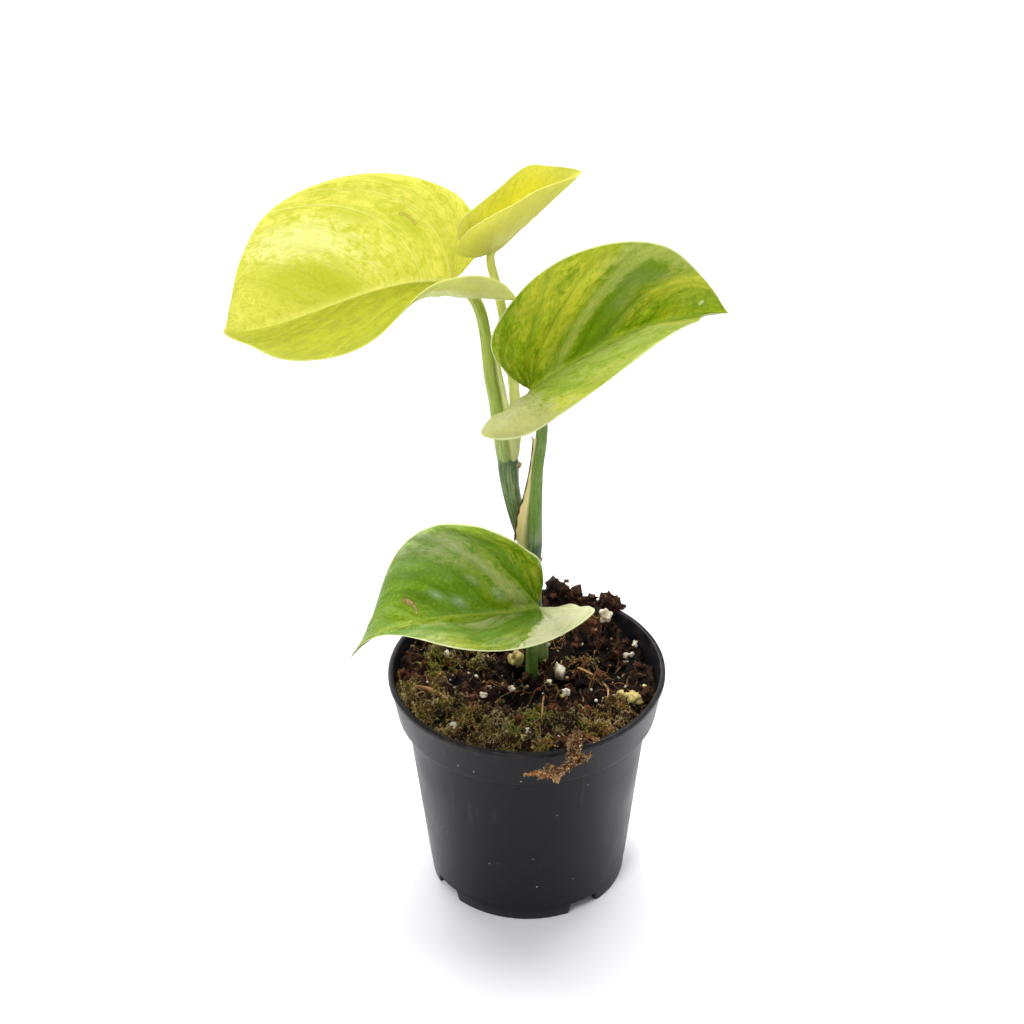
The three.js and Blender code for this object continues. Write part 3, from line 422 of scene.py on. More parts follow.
# What each blade shows. Patches are where one of its colours gathers, by colour and side: the place
# along the midrib and across in shares of length and width, half the breadth in veins, half the run
# along the vein in shares of it, and the strength. Strong veins are given by side and number, and scars
# by side, line and half width.
# Of the patch colours, sheen is painted: painted highlights and sheen on the right and lower left blades,
# painted shade on the upper left one.
FAINT_VEIN = 0.16
LOOKS = {
    "leaf_upper_left": dict(
        deep=(196, 202, 40), mid=(248, 243, 132), yellow=(250, 244, 132), pale=(253, 251, 196),
        painted_sheen_and_shade=(168, 171, 58), cream=(224, 221, 174), vein=(248, 246, 170), margin=(240, 238, 140),
        under=(220, 224, 160), scar=(222, 206, 130), scar_rim=(196, 184, 84),
        glow=0.5, relief=0.14, net=0.3, painted_groove_shade=0.3, contrast=0.7,
        strong={(1, 5): 0.3, (1, 7): 0.2, (-1, 4): 0.5, (-1, 5): 0.7},
        scars=(
            (-1, ((0.18, 0.57), (0.155, 0.59), (0.13, 0.55), (0.12, 0.49)), 0.2),
            (1, ((0.77, 0.04), (0.755, 0.075)), 0.2),
        ),
        patches={
            ("deep", -1): (
                (0.14, 0.49, 0.25, 0.12, 0.7), (0.32, 0.66, 0.4, 0.12, 0.5), (0.56, 0.3, 0.8, 0.4, 0.46),
                (0.43, 0.12, 0.6, 0.4, 0.44), (0.7, 0.28, 0.8, 0.4, 0.44),
            ),
            # the broad second patch darkens the near half: painted shade
            ("deep", 1): (
                (0.4, 0.45, 0.3, 0.5, 0.5), (0.45, 0.5, 5, 1.4, 1.1), (0.25, 0.2, 0.5, 0.4, 0.5),
                (0.6, 0.3, 0.7, 0.6, 0.35),
            ),
            ("yellow", -1): ((0.05, 0.6, 1.2, 0.6, 0.5), (0.25, 0.2, 0.5, 0.5, 0.5)),
            ("pale", -1): (
                (0.5, 0.59, 1.1, 0.34, 0.42), (0.66, 0.64, 0.9, 0.26, 0.45), (0.34, 0.42, 0.8, 0.34, 0.2),
            ),
            ("pale", 1): ((-0.1, 0.45, 1.5, 0.7, 0.4),),
            # painted shade, beside the midrib and over the near half
            ("painted_sheen_and_shade", -1): ((0.5, 0.03, 4, 0.25, 0.15),),
            ("painted_sheen_and_shade", 1): ((0.5, 0.6, 6, 1.5, 1.2),),
        },
    ),
    "leaf_top": dict(
        deep=(202, 204, 76), mid=(230, 228, 116), yellow=(248, 240, 92), pale=(246, 246, 206),
        painted_sheen_and_shade=(214, 214, 120), cream=(224, 221, 174), vein=(242, 240, 160), margin=(224, 226, 140),
        under=(234, 232, 118), glow=0.45, relief=0.03, net=0.3, painted_groove_shade=0.2, contrast=0.5, strong={}, scars=(),
        patches={
            ("yellow", 1): ((0.45, 0.4, 3, 0.8, 0.9),),
            # the pale patches by the keel are painted sheen
            ("pale", -1): ((0.35, 0.1, 3, 0.25, 0.5), (0.05, 0.1, 2, 0.3, 0.7)),
        },
    ),
    "leaf_right": dict(
        deep=(120, 158, 16), mid=(186, 202, 30), yellow=(228, 224, 78), pale=(202, 208, 116),
        painted_sheen_and_shade=(168, 172, 118), cream=(214, 211, 146), vein=(166, 184, 84), margin=(240, 241, 190),
        under=(160, 174, 88), scar=(240, 242, 214), scar_rim=(216, 222, 160),
        glow=0.45, relief=0.3, net=0.5, painted_groove_shade=0.35, contrast=0.85,
        strong={(1, 3): 0.5, (1, 4): 0.4, (-1, 4): 0.3},
        scars=((1, ((0.84, 0.1), (0.85, 0.12)), 0.36),),
        patches={
            ("deep", 1): ((0.5, 0.42, 1, 0.5, 1), (0.35, 0.12, 0.6, 0.3, 0.6), (0.66, 0.45, 0.6, 0.3, 0.5)),
            ("yellow", 1): (
                (0.23, 0.89, 0.5, 0.25, 0.6), (0.23, 0.53, 0.35, 0.3, 0.6), (0.33, 0.62, 0.35, 0.25, 0.42),
                (0.4, 0.79, 0.45, 0.22, 0.42), (0.24, 0.36, 0.4, 0.25, 0.36), (0.1, 0.5, 2.2, 0.7, 0.35),
                (0.79, 0.32, 1.1, 0.6, 1), (0.75, 0.13, 0.5, 0.4, 0.5),
            ),
            ("yellow", -1): (
                (0.09, 0.86, 0.5, 0.14, 0.6), (0, 0.84, 0.5, 0.12, 0.5), (0.27, 0.86, 0.5, 0.12, 0.4),
                (0.78, 0.25, 0.9, 0.6, 0.7), (0.86, 0.16, 1, 0.8, 1),
            ),
            ("pale", 1): (
                (-0.08, 0.5, 1.6, 0.9, 0.45), (0.1, 0.05, 0.3, 0.3, 0.6), (0.24, 0.26, 0.2, 0.3, 0.7),
                (0.37, 0.44, 0.22, 0.3, 0.7), (0.5, 0.62, 0.3, 0.25, 0.75), (0.56, 0.8, 0.5, 0.22, 0.8),
                (0.7, 0.72, 0.8, 0.12, 0.8), (0.82, 0.52, 0.8, 0.12, 0.7),
            ),
            ("pale", -1): (
                (0.15, 0.4, 2.5, 0.9, 0.15), (0.4, 0.4, 1.8, 0.8, 0.25), (0.62, 0.45, 1.4, 0.7, 0.25),
            ),
            ("cream", -1): ((-0.22, 0.5, 1.1, 0.8, 1.4),),
            # painted highlights on the blisters, then painted sheen over the near half
            ("painted_sheen_and_shade", 1): (
                (0.55, 0.5, 0.4, 0.09, 0.9), (0.47, 0.34, 0.35, 0.09, 0.75), (0.43, 0.14, 0.4, 0.25, 0.4),
                (0.66, 0.44, 0.4, 0.08, 0.5),
            ),
            ("painted_sheen_and_shade", -1): ((0.35, 0.4, 4.5, 1.1, 0.75),),
        },
    ),
    "leaf_lower_left": dict(
        deep=(92, 136, 0), mid=(164, 178, 40), yellow=(214, 210, 76), pale=(176, 184, 116),
        painted_sheen_and_shade=(178, 194, 160), cream=(226, 223, 182), vein=(160, 182, 92), margin=(236, 238, 184),
        under=(150, 168, 104), scar=(206, 190, 130), scar_rim=(118, 88, 40),
        glow=0.25, relief=0.6, net=0.45, painted_groove_shade=0.5, contrast=1, strong={(-1, 3): 0.4, (-1, 4): 0.4},
        scars=(
            (-1, ((0.632, 0.27), (0.604, 0.21)), 0.58),
            (-1, ((0.6, 0.21), (0.583, 0.14), (0.58, 0.09)), 0.22),
        ),
        patches={
            ("deep", -1): (
                (0.74, 0.5, 1, 0.6, 0.6), (0.46, 0.3, 1.4, 0.6, 1.3), (0.1, 0.5, 0.5, 0.6, 1),
                (0.86, 0.2, 1.4, 0.8, 0.8),
            ),
            ("deep", 1): (
                (0.36, 0.36, 1.6, 0.3, 1.1), (0.04, 0.22, 1.3, 0.35, 0.9), (0.88, 0.2, 1.2, 0.8, 0.6),
            ),
            ("yellow", -1): ((0.22, 0.91, 0.3, 0.2, 0.2), (0.14, 0.74, 0.3, 0.3, 0.3)),
            ("yellow", 1): ((0.62, 0.14, 0.9, 0.4, 0.6), (0.38, 0.76, 0.7, 0.2, 0.6)),
            ("pale", -1): (
                (0.08, 0.73, 0.2, 0.12, 0.25), (0.08, 0.24, 0.3, 0.3, 0.6), (0.22, 0.46, 0.25, 0.42, 1.1),
                (0.43, 0.66, 0.35, 0.22, 0.4), (0.48, 0.78, 0.7, 0.2, 0.3), (0.34, 0.84, 0.5, 0.14, 0.5),
            ),
            ("pale", 1): (
                (0.27, 0.22, 0.5, 0.2, 0.9), (0.46, 0.22, 0.4, 0.2, 0.7), (0.5, 0.62, 1, 0.3, 0.3),
                (0.14, 0.16, 0.3, 0.2, 0.6),
            ),
            ("cream", 1): ((-0.2, 0.5, 1.2, 0.8, 2.6),),
            # painted highlights on the blisters, then painted sheen on the upper left and over the near half
            ("painted_sheen_and_shade", -1): (
                (0.48, 0.24, 0.2, 0.05, 1), (0.38, 0.14, 0.2, 0.06, 1), (0.3, 0.36, 0.16, 0.05, 0.9),
                (0.19, 0.22, 0.16, 0.06, 0.9), (0.54, 0.8, 1.1, 0.3, 0.6),
            ),
            ("painted_sheen_and_shade", 1): ((0.45, 0.5, 2.5, 0.6, 0.2),),
        },
    ),
}
PATCH_COLOURS = ("deep", "yellow", "pale", "cream", "painted_sheen_and_shade")
POINT_VALUES = ("edge", "strength", "spacing", "rib", "scar", *PATCH_COLOURS)
PATCH_SOFTNESS = 1.2
RIB_RADIUS = 0.55
RIB_HEIGHT = 0.45
VEIN_GROOVE = 0.07
GROOVE_WIDTH = 0.4
FULL_THICKNESS_FROM_EDGE = 2.5
FAR_FROM_EDGE = 9


def patch_values(look, side, number, along, across):
    """How strongly each colour's patches cover each point of one half."""
    r = np.broadcast_to(STEP_SHARES[None, :], along.shape)
    t = np.broadcast_to(number[:, None], along.shape)
    values = {colour: np.zeros(along.shape) for colour in PATCH_COLOURS}
    for colour in PATCH_COLOURS:
        for u, v, breadth, run, strength in look["patches"].get((colour, side), ()):
            nearest = np.argmin((along - u) ** 2 + (across - v) ** 2)
            aside, ahead = (t - t.flat[nearest]) / breadth, (r - r.flat[nearest]) / run
            values[colour] += strength * np.exp(-(aside**2 + ahead**2) / PATCH_SOFTNESS)
    return values


def scar_values(look, leaf, half, side, along, across):
    """How strongly the dried marks cover each point of one half."""
    value = np.zeros(along.shape)
    for scar_side, line, width in look["scars"]:
        if scar_side != side:
            continue
        line = np.array(line) * (leaf.length, half.width)
        for start, end in zip(line, line[1:]):
            way = end - start
            share = ((along - start[0]) * way[0] + (across - start[1]) * way[1]) / (way @ way)
            share = np.clip(share, 0, 1)
            off = np.hypot(along - start[0] - share * way[0], across - start[1] - share * way[1])
            value = np.maximum(value, np.exp(-((off / width) ** 2)))
    return value


def half_relief(name, side, number, spacing, along, width, chord, look):
    """How far each point of a half stands proud of its smooth surface: swellings between veins."""
    rows, columns = spacing.shape
    relief = np.zeros(spacing.shape)
    from_vein = np.abs(number - np.round(number))[:, None]
    swell = np.sin(np.pi * from_vein) ** 1.2
    seed = 7.0 * len(name) + 31 * side
    for i in range(rows):
        for j in range(columns):
            bend = noise.noise(Vector((number[i] * 0.9, j / columns * 5.0, seed)))
            wave = noise.noise(Vector((along[i, j] * 0.12, j / columns * 2.5, seed + 9)))
            relief[i, j] = look["relief"] * (swell[i, 0] * (0.7 + 1.6 * bend) + 2.2 * wave)
    groove = VEIN_GROOVE * np.exp(-((from_vein * spacing) / GROOVE_WIDTH) ** 2)
    envelope = STEP_SHARES[None, :]
    fade = smooth(0, 0.12, envelope) * (1 - smooth(0.93, 1, envelope)) * smooth(3, 14, chord)[:, None]
    fade = fade * smooth(1, 9, width) * (1 - 0.85 * smooth(0.5, 0.8, along / along.max()))
    return (relief - groove) * fade


def add_blade(name):
    """A fine blade for one leaf: both faces and the thin rim between them."""
    leaf, look = LEAVES[name], LOOKS[name]
    rows = FAN_ROWS + MIDRIB_ROWS
    # point numbers: the base, then the midrib's points, which both halves share, then each half's
    along_rib = np.linspace(0, 1, MIDRIB_ROWS + 1)[1:] * leaf.length
    points = [np.array([leaf.base], float), blade_surface(leaf, 1, along_rib, np.zeros(MIDRIB_ROWS))]
    values = {key: [np.zeros(1), np.zeros(MIDRIB_ROWS)] for key in ("relief", *POINT_VALUES)}
    values["edge"] = [np.array([FAR_FROM_EDGE]), leaf.length - along_rib]
    values["rib"] = [np.ones(1), rib_share(along_rib / leaf.length)]
    values["spacing"][1] = np.ones(MIDRIB_ROWS)
    indexes, numbers = {}, {}
    used = 1 + MIDRIB_ROWS
    for side, half in ((1, leaf.left), (-1, leaf.right)):
        along, across, width, number, chord = vein_rows(leaf, half)
        lines = np.stack([along, across], -1)
        by_number, by_step = np.gradient(lines, number, axis=0), np.gradient(lines, axis=1)
        by_step /= np.maximum(np.linalg.norm(by_step, axis=-1, keepdims=True), 1e-6)
        spacing = np.abs(by_number[..., 0] * by_step[..., 1] - by_number[..., 1] * by_step[..., 0])
        to_margin = (1 - STEP_SHARES)[None, :] * chord[:, None]
        strong = [look["strong"].get((side, int(round(n))), FAINT_VEIN) for n in number]
        found = patch_values(look, side, number, along / leaf.length, across / half.width)
        found.update(
            scar=scar_values(look, leaf, half, side, along, across), spacing=spacing,
            edge=np.minimum(to_margin, width - across),
            strength=np.broadcast_to(np.array(strong)[:, None], along.shape),
            rib=np.exp(-((across / RIB_RADIUS) ** 2)) * rib_share(along / leaf.length),
            relief=half_relief(name, side, number, spacing, along, width, chord, look),
        )
        index = np.zeros((rows, VEIN_STEPS + 1), int)
        index[FAN_ROWS:, 0] = 1 + np.arange(MIDRIB_ROWS)
        count = (rows - 1) * VEIN_STEPS
        index[:-1, 1:] = used + np.arange(count).reshape(rows - 1, VEIN_STEPS)
        index[-1, :] = MIDRIB_ROWS
        used += count
        points.append(blade_surface(leaf, side, along, across)[:-1, 1:].reshape(-1, 3))
        for key in values:
            values[key].append(found[key][:-1, 1:].ravel())
        indexes[side], numbers[side] = index, number
    points = np.concatenate(points)
    values = {key: np.concatenate(parts) for key, parts in values.items()}

    faces, corners = [], []
    for side, index in indexes.items():
        for i in range(rows - 1):
            for j in range(VEIN_STEPS):
                face, corner = [], []
                for row, column in ((i, j), (i + 1, j), (i + 1, j + 1), (i, j + 1)):
                    if index[row, column] not in face:
                        face.append(int(index[row, column]))
                        corner.append((numbers[side][row], side * column / VEIN_STEPS))
                if len(face) > 2:
                    faces.append(face[::side])
                    corners.append(corner[::side])
    normals = np.zeros_like(points)
    for face in faces:
        a, b, c = points[face[0]], points[face[1]], points[face[2]]
        normal = np.cross(b - a, c - a)
        for corner in face:
            normals[corner] += normal
    normals /= np.maximum(np.linalg.norm(normals, axis=1, keepdims=True), 1e-9)
    thick = smooth(0, FULL_THICKNESS_FROM_EDGE, values["edge"])
    half_thick = (RIM_THICKNESS + (BLADE_THICKNESS - RIM_THICKNESS) * thick) / 2
    middle = points + normals * values["relief"][:, None]
    top = middle + normals * half_thick[:, None]
    bottom = middle - normals * (half_thick + RIB_HEIGHT * values["rib"])[:, None]

    size = len(points)
    left, right = indexes[1], indexes[-1]
    edge = [0, *left[0, 1:], *left[1:, -1], *right[-2::-1, -1], *right[0, -2:0:-1]]
    all_faces = faces + [[corner + size for corner in face[::-1]] for face in faces]
    all_corners = corners + [corner[::-1] for corner in corners]
    for a, b in zip(edge, edge[1:] + edge[:1]):
        all_faces.append([int(b) + size, int(a) + size, int(a), int(b)])
        all_corners.append([(0.0, 1.0)] * 4)
    title = name.replace("leaf", "blade")
    material = leaf_material(title, look)
    piece = add_mesh(title, np.concatenate([top, bottom]), all_faces, material, replaced=[name])
    set_corners(piece, "veins", [pair for corner in all_corners for pair in corner])
    for key in POINT_VALUES:
        set_points(piece, key, np.tile(values[key], 2))
    set_points(piece, "under", np.repeat([0.0, 1.0], size))


def leaf_material(name, look):
    s = Shader(name)
    t, r = s.uv("veins")
    marble = s.noise(s.vector(t * 1.5, r * 5.2), 1.6, detail=8, roughness=0.66, distortion=1.2)
    streak = s.noise(s.vector(t * 6, r * 4), 1.8, detail=6, roughness=0.7, distortion=0.8)
    blotch = s.noise(s.place, 360, detail=7, roughness=0.68, distortion=0.8)
    fleck = s.noise(s.place, 1500, roughness=0.7)

    mottle = marble * 0.45 + blotch * 0.4 + streak * 0.3
    colour = s.mix(s.step(mottle, 0.49, 0.64, 1, 0) * look["contrast"], look["mid"], look["deep"])
    loose = (mottle - 0.57) * 3.4
    for patch in ("deep", "yellow", "pale", "cream"):
        cover = s.attribute(patch)
        low, high = (0.35, 0.7) if patch == "cream" else (0.1, 1)
        level = s.step(cover + loose, low, high) * s.step(cover, 0.02, 0.3, 0, 0.88)
        colour = s.mix(level, colour, look[patch])
    colour = s.mix(s.step(fleck, 0.45, 0.7, 0, 0.24), colour, look["yellow"])
    # painted sheen and painted shade from the sheen patches
    sheen_and_shade_level = s.math("MINIMUM", s.attribute("painted_sheen_and_shade"), 1) * s.step(mottle, 0.48, 0.68, 0.35, 1)
    colour = s.mix(sheen_and_shade_level, colour, look["painted_sheen_and_shade"])

    # darker strokes and cells, and painted shade along the vein grooves, all fainter where the blade is cream
    plain = s.step(s.attribute("cream"), 0.2, 0.9, 1, 0.35)
    stroke = s.noise(s.vector(t * 9, r * 9), 1.6, detail=4, distortion=1.5)
    stroke = s.step(stroke, 0.56, 0.68) * s.step(blotch, 0.4, 0.6, 0, 0.6)
    colour = s.mix(stroke * plain, colour, look["deep"])
    cells = s.voronoi(s.vector(t * 2.4 + blotch * 1.6, r * 8 + marble * 1.6), 1, "DISTANCE_TO_EDGE")
    net = s.step(cells, 0, 0.16, look["net"], 0) * s.step(streak, 0.4, 0.62, 0.1, 1)
    colour = s.mix(net * plain, colour, look["deep"])
    off_vein = s.off_whole(t)
    painted_groove_shade = s.step(off_vein, 0.02, 0.34, look["painted_groove_shade"], 0) * s.step(blotch, 0.42, 0.62, 0.2, 1)
    colour = s.mix(painted_groove_shade * plain, colour, look["deep"])

    spacing = s.attribute("spacing")
    main_vein = s.step(off_vein * spacing, 0.05, 0.19, 1, 0) * s.attribute("strength")
    main_vein = main_vein * s.step(streak, 0.3, 0.6, 0.45, 1)
    off_fine = s.off_whole((t + (s.noise(s.place, 420) - 0.5) * 0.5) * 6)
    fine_vein = s.step(off_fine * spacing, 0.1, 0.6, 0.2, 0) * s.step(marble, 0.4, 0.6)
    colour = s.mix(main_vein, colour, look["vein"])
    colour = s.mix(fine_vein * plain, colour, look["deep"])
    colour = s.mix(s.step(s.attribute("rib"), 0.3, 0.9, 0, 0.4), colour, look["vein"])
    colour = s.mix(s.step(s.attribute("edge"), 0.15, 0.45, 0.9, 0), colour, look["margin"])
    if look["scars"]:
        scar = s.attribute("scar")
        netted = s.step(s.voronoi(s.place, 1900), 0.2, 0.5, 1, 0.3)
        colour = s.mix(s.step(scar, 0.2, 0.4, 0, 0.9), colour, look["scar_rim"])
        colour = s.mix(s.step(scar, 0.42, 0.62) * netted, colour, look["scar"])
    colour = s.mix(s.attribute("under"), colour, s.mix(0.6, colour, look["under"]))

    bump = s.bump(fleck * 0.5 + streak * 0.8 - fine_vein * 1.5, 0.2, 0.7)
    return s.finish(colour, s.step(blotch, 0.3, 0.7, 0.24, 0.36), bump, 0.16, look["glow"])


# The stem and the leaf stalks: x, y, z and radius along each, as in the part's source.
STALK_SIDES = 28
STALK_STEPS = 10
MAIN_STEM = (
    (3.9, 11, 26, 1.5), (3.5, 10.4, 36, 1.95), (2.9, 9.2, 51, 1.95), (2, 8.4, 58.4, 1.9),
    (1.6, 7.8, 65.5, 1.85), (1.3, 6.9, 74, 1.9), (0.9, 6.2, 79.4, 2.15), (0.2, 6, 82, 2.05),
    (-0.7, 5.8, 85, 1.85), (-2, 5.4, 89.8, 1.75), (-3.1, 5.2, 96, 1.9), (-3.5, 5, 101.2, 2.2),
    (-3.5, 5, 103.4, 2.1),
)
NUBS = ((2.9, 5.4, 77.6, 0.62), (-1.35, 4.1, 102.3, 0.6))
NUB_SEED = 3
# Each stalk and its sheath, with the colours of its flesh by height, of its streaks and where it is dark.
STALKS = {
    "lower_left": dict(
        path=((2.4, 7.6, 38, 1.35), (1.3, 4.4, 43.5, 1.35), (1.1, 2.9, 47.8, 1.35), (1.2, 1.2, 55, 1.3),
              (1.3, -0.4, 61.2, 1.25), (1.9, -1.8, 66.6, 1.2)),
        stops=((47, (50, 74, 32)), (51, (88, 118, 48)), (60, (94, 124, 52)), (72, (118, 144, 66))),
        streak=(140, 164, 96), dark=(62, 92, 28),
    ),
    "right": dict(
        path=((1.6, 4.6, 79, 1.7), (1.7, 4.1, 83, 1.85), (1.9, 3.2, 91.3, 1.6), (2.4, 1.6, 102.4, 1.35),
              (3.3, 0.6, 110.6, 1.25), (3.4, 0, 116, 1.2), (2.7, -0.3, 120, 1.1)),
        stops=((79, (66, 88, 76)), (83, (70, 92, 78)), (84.6, (126, 142, 106)), (89, (106, 134, 62)),
               (104, (98, 130, 42)), (118, (108, 134, 58)), (124, (136, 158, 72))),
        streak=(152, 164, 112), dark=(74, 110, 20),
        sheath=((-0.2, 3.9, 80.5, 1.4), (-0.5, 3.4, 84.5, 1.5), (-0.2, 2.9, 89, 1.25), (0.6, 2.2, 95.5, 0.85),
                (1.5, 1.4, 103, 0.5), (2, 1, 107.5, 0.35)),
        sheath_look=dict(low=(236, 222, 146), high=(250, 240, 186), green=(112, 138, 66), green_side=1),
    ),
    "upper_left": dict(
        path=((-4.1, 4.6, 103.6, 1.75), (-4.9, 4.2, 109, 1.6), (-5.9, 3.6, 117.2, 1.4), (-7, 3, 124.7, 1.3),
              (-7.7, 2.4, 133.1, 1.2), (-8.6, 1.9, 139.3, 1.2), (-10.2, 1.4, 143.6, 1.2),
              (-12.2, 1.1, 145.4, 1.15)),
        stops=((101, (70, 94, 56)), (103.9, (70, 94, 56)), (104.3, (132, 148, 86)), (112, (136, 154, 70)),
               (128, (154, 170, 70)), (142, (172, 186, 76)), (148, (196, 202, 84))),
        streak=(176, 188, 122), dark=(112, 136, 44),
        sheath=((-2.7, 4.1, 103.2, 0.55), (-2.6, 3.9, 104.6, 0.85), (-3, 3.5, 109, 0.85), (-4, 3, 117, 0.7),
                (-5.3, 2.4, 126, 0.55), (-6.4, 2, 133, 0.4)),
        sheath_look=dict(low=(208, 210, 132), high=(230, 230, 168), green=(160, 176, 84), green_side=-1),
    ),
    "top": dict(
        path=((-2.4, 6.6, 103.8, 1.3), (-1.9, 6.6, 110, 1.25), (-2.2, 6.2, 120, 1.15), (-3.2, 5.2, 130, 1.1),
              (-4.4, 4, 139, 1), (-5.7, 2.4, 146.6, 0.95), (-6.5, 0.4, 151.4, 0.9)),
        stops=((103, (196, 202, 126)), (125, (204, 208, 116)), (148, (210, 212, 100))),
        streak=(226, 226, 164), dark=(172, 180, 84),
    ),
}
STEM_STOPS = (
    (48, (84, 108, 52)), (52, (132, 150, 88)), (58, (118, 142, 86)), (66, (78, 104, 80)),
    (82.4, (66, 88, 76)), (82.9, (122, 140, 96)), (88, (98, 120, 70)), (94, (76, 102, 52)),
    (104, (70, 94, 58)),
)
# The end of each stalk under its blade: along the midrib, below it, and radius.
STALK_END = ((0.9, 0.9, 0.8), (3, 0.72, 0.6), (6, 0.55, 0.42), (9, 0.4, 0.25))
# The rings of a tube's round end: how far out and how wide, in radii.
CAP = ((0.45, 0.89), (0.8, 0.6), (1, 0.02))


def rings_along(path, steps):
    """Centres, radii, directions to the front and aside, and distance along a smooth line through points
    that carry a radius."""
    line = catmull_rom(path, steps)
    centres, radii = line[:, :3], line[:, 3]
    tangents = np.gradient(centres, axis=0)
    tangents /= np.linalg.norm(tangents, axis=1, keepdims=True)
    ahead, fronts = np.array((0, -1, 0), float), []
    for tangent in tangents:
        ahead = ahead - tangent * np.dot(ahead, tangent)
        ahead /= np.linalg.norm(ahead)
        fronts.append(ahead)
    fronts = np.array(fronts)
    travelled = np.concatenate([[0], np.cumsum(np.linalg.norm(np.diff(centres, axis=0), axis=1))])
    return centres, radii, fronts, np.cross(tangents, fronts), travelled


def around_line(angles, fronts, flanks):
    """Directions square to a line, at angles round it from its front."""
    return np.cos(angles)[None, :, None] * fronts[:, None] + np.sin(angles)[None, :, None] * flanks[:, None]


def ring_faces(rings, sides):
    """The faces between rings of points that follow each other."""
    faces = []
    for i in range(rings - 1):
        for k in range(sides):
            n = (k + 1) % sides
            faces.append([i * sides + k, i * sides + n, (i + 1) * sides + n, (i + 1) * sides + k])
    return faces


def joined(parts):
    """One list of points and one of faces out of several, and the number of points of each."""
    points, faces, counts, used = [], [], [], 0
    for part_points, part_faces in parts:
        points.append(part_points)
        faces += [[corner + used for corner in face] for face in part_faces]
        used += len(part_points)
        counts.append(len(part_points))
    return np.concatenate(points), faces, counts


def add_tube(name, path, material, shape=None, replaced=(),
             sides=STALK_SIDES, steps=STALK_STEPS):
    """A tube with round ends. shape changes its radius by turn and distance, which are also its corners'
    values."""
    centres, radii, fronts, flanks, travelled = rings_along(path, steps)
    turn = np.linspace(0, 1, sides, endpoint=False)
    reach = np.repeat(radii[:, None], sides, 1)
    if shape:
        reach = reach * shape(turn[None, :], travelled[:, None])
    around = around_line(2 * np.pi * turn, fronts, flanks)
    tangents = np.cross(fronts, flanks)
    caps = []
    for k, way in ((0, -tangents[0]), (-1, tangents[-1])):
        caps.append([])
        for out, width in CAP:
            caps[-1].append(centres[k] + way * radii[k] * out + reach[k][:, None] * width * around[k])
    rings = np.concatenate([caps[0][::-1], centres[:, None] + reach[..., None] * around, caps[1]])
    distances = np.concatenate([np.zeros(len(CAP)), travelled, np.full(len(CAP), travelled[-1])])
    corners = []
    for i in range(len(rings) - 1):
        for k in range(sides):
            for row, column in ((i, k), (i, k + 1), (i + 1, k + 1), (i + 1, k)):
                corners.append((column / sides, distances[row]))
    piece = add_mesh(name, rings.reshape(-1, 3), ring_faces(len(rings), sides), material, replaced)
    set_corners(piece, "run", corners)


# The dried outer edge of the right stalk's sheath: x, y and z.
SHEATH_EDGE = (
    (-2.36, 2.8, 84.5), (-2.02, 2.5, 88.5), (-1.47, 2.2, 92.2), (-0.51, 1.9, 95.6), (0.55, 1.3, 100.9),
    (1.25, 1, 106), (1.6, 0.6, 110.4), (1.35, 0.5, 111.3),
)
SHEATH_COLUMNS = 10
SHEATH_SIDES = 56
# The strip up to that edge: where it meets the stalk, in the stalk's radii, how far it bulges and waves,
# the share of its width that has dried, and half its thickness there and elsewhere.
SHEATH_ROOT = (-0.75, -0.45)
SHEATH_BULGE = 0.25
SHEATH_WAVE = 0.08
DRIED_SHARE = 0.12
DRIED_HALF_THICKNESS = 0.17
PAPER_HALF_THICKNESS = 0.09
PAPER_GLOW = 0.42
RIM_RADIUS = 0.17
RIM_SIDES = 8
RIM_STEPS = 6


def papery(name, low, high, dried=False, green=None, green_side=1):
    """Pale papery skin with lengthwise veins. If dried, it is brown where the first corner value is near 0.
    It can turn green on one side, 1 for the right."""
    s = Shader(name)
    turn, run = s.uv("run")
    veins = s.noise(s.vector(turn * 26, run * 0.06), 1.5, detail=4)
    colour = s.mix(veins, low, high)
    if dried:
        ragged = turn + s.noise(s.place, 700, detail=4) * 0.14
        colour = s.mix(s.step(ragged, 0.11, 0.19, 1, 0), colour, (84, 54, 36))
    if green:
        aside = s.math("SINE", turn * (2 * math.pi)) * green_side + veins * 0.5
        colour = s.mix(s.step(aside, 0, 0.85, 0, 0.9), colour, green)
    return s.finish(colour, 0.5, s.bump(veins, 0.1, 0.5), glow=PAPER_GLOW)


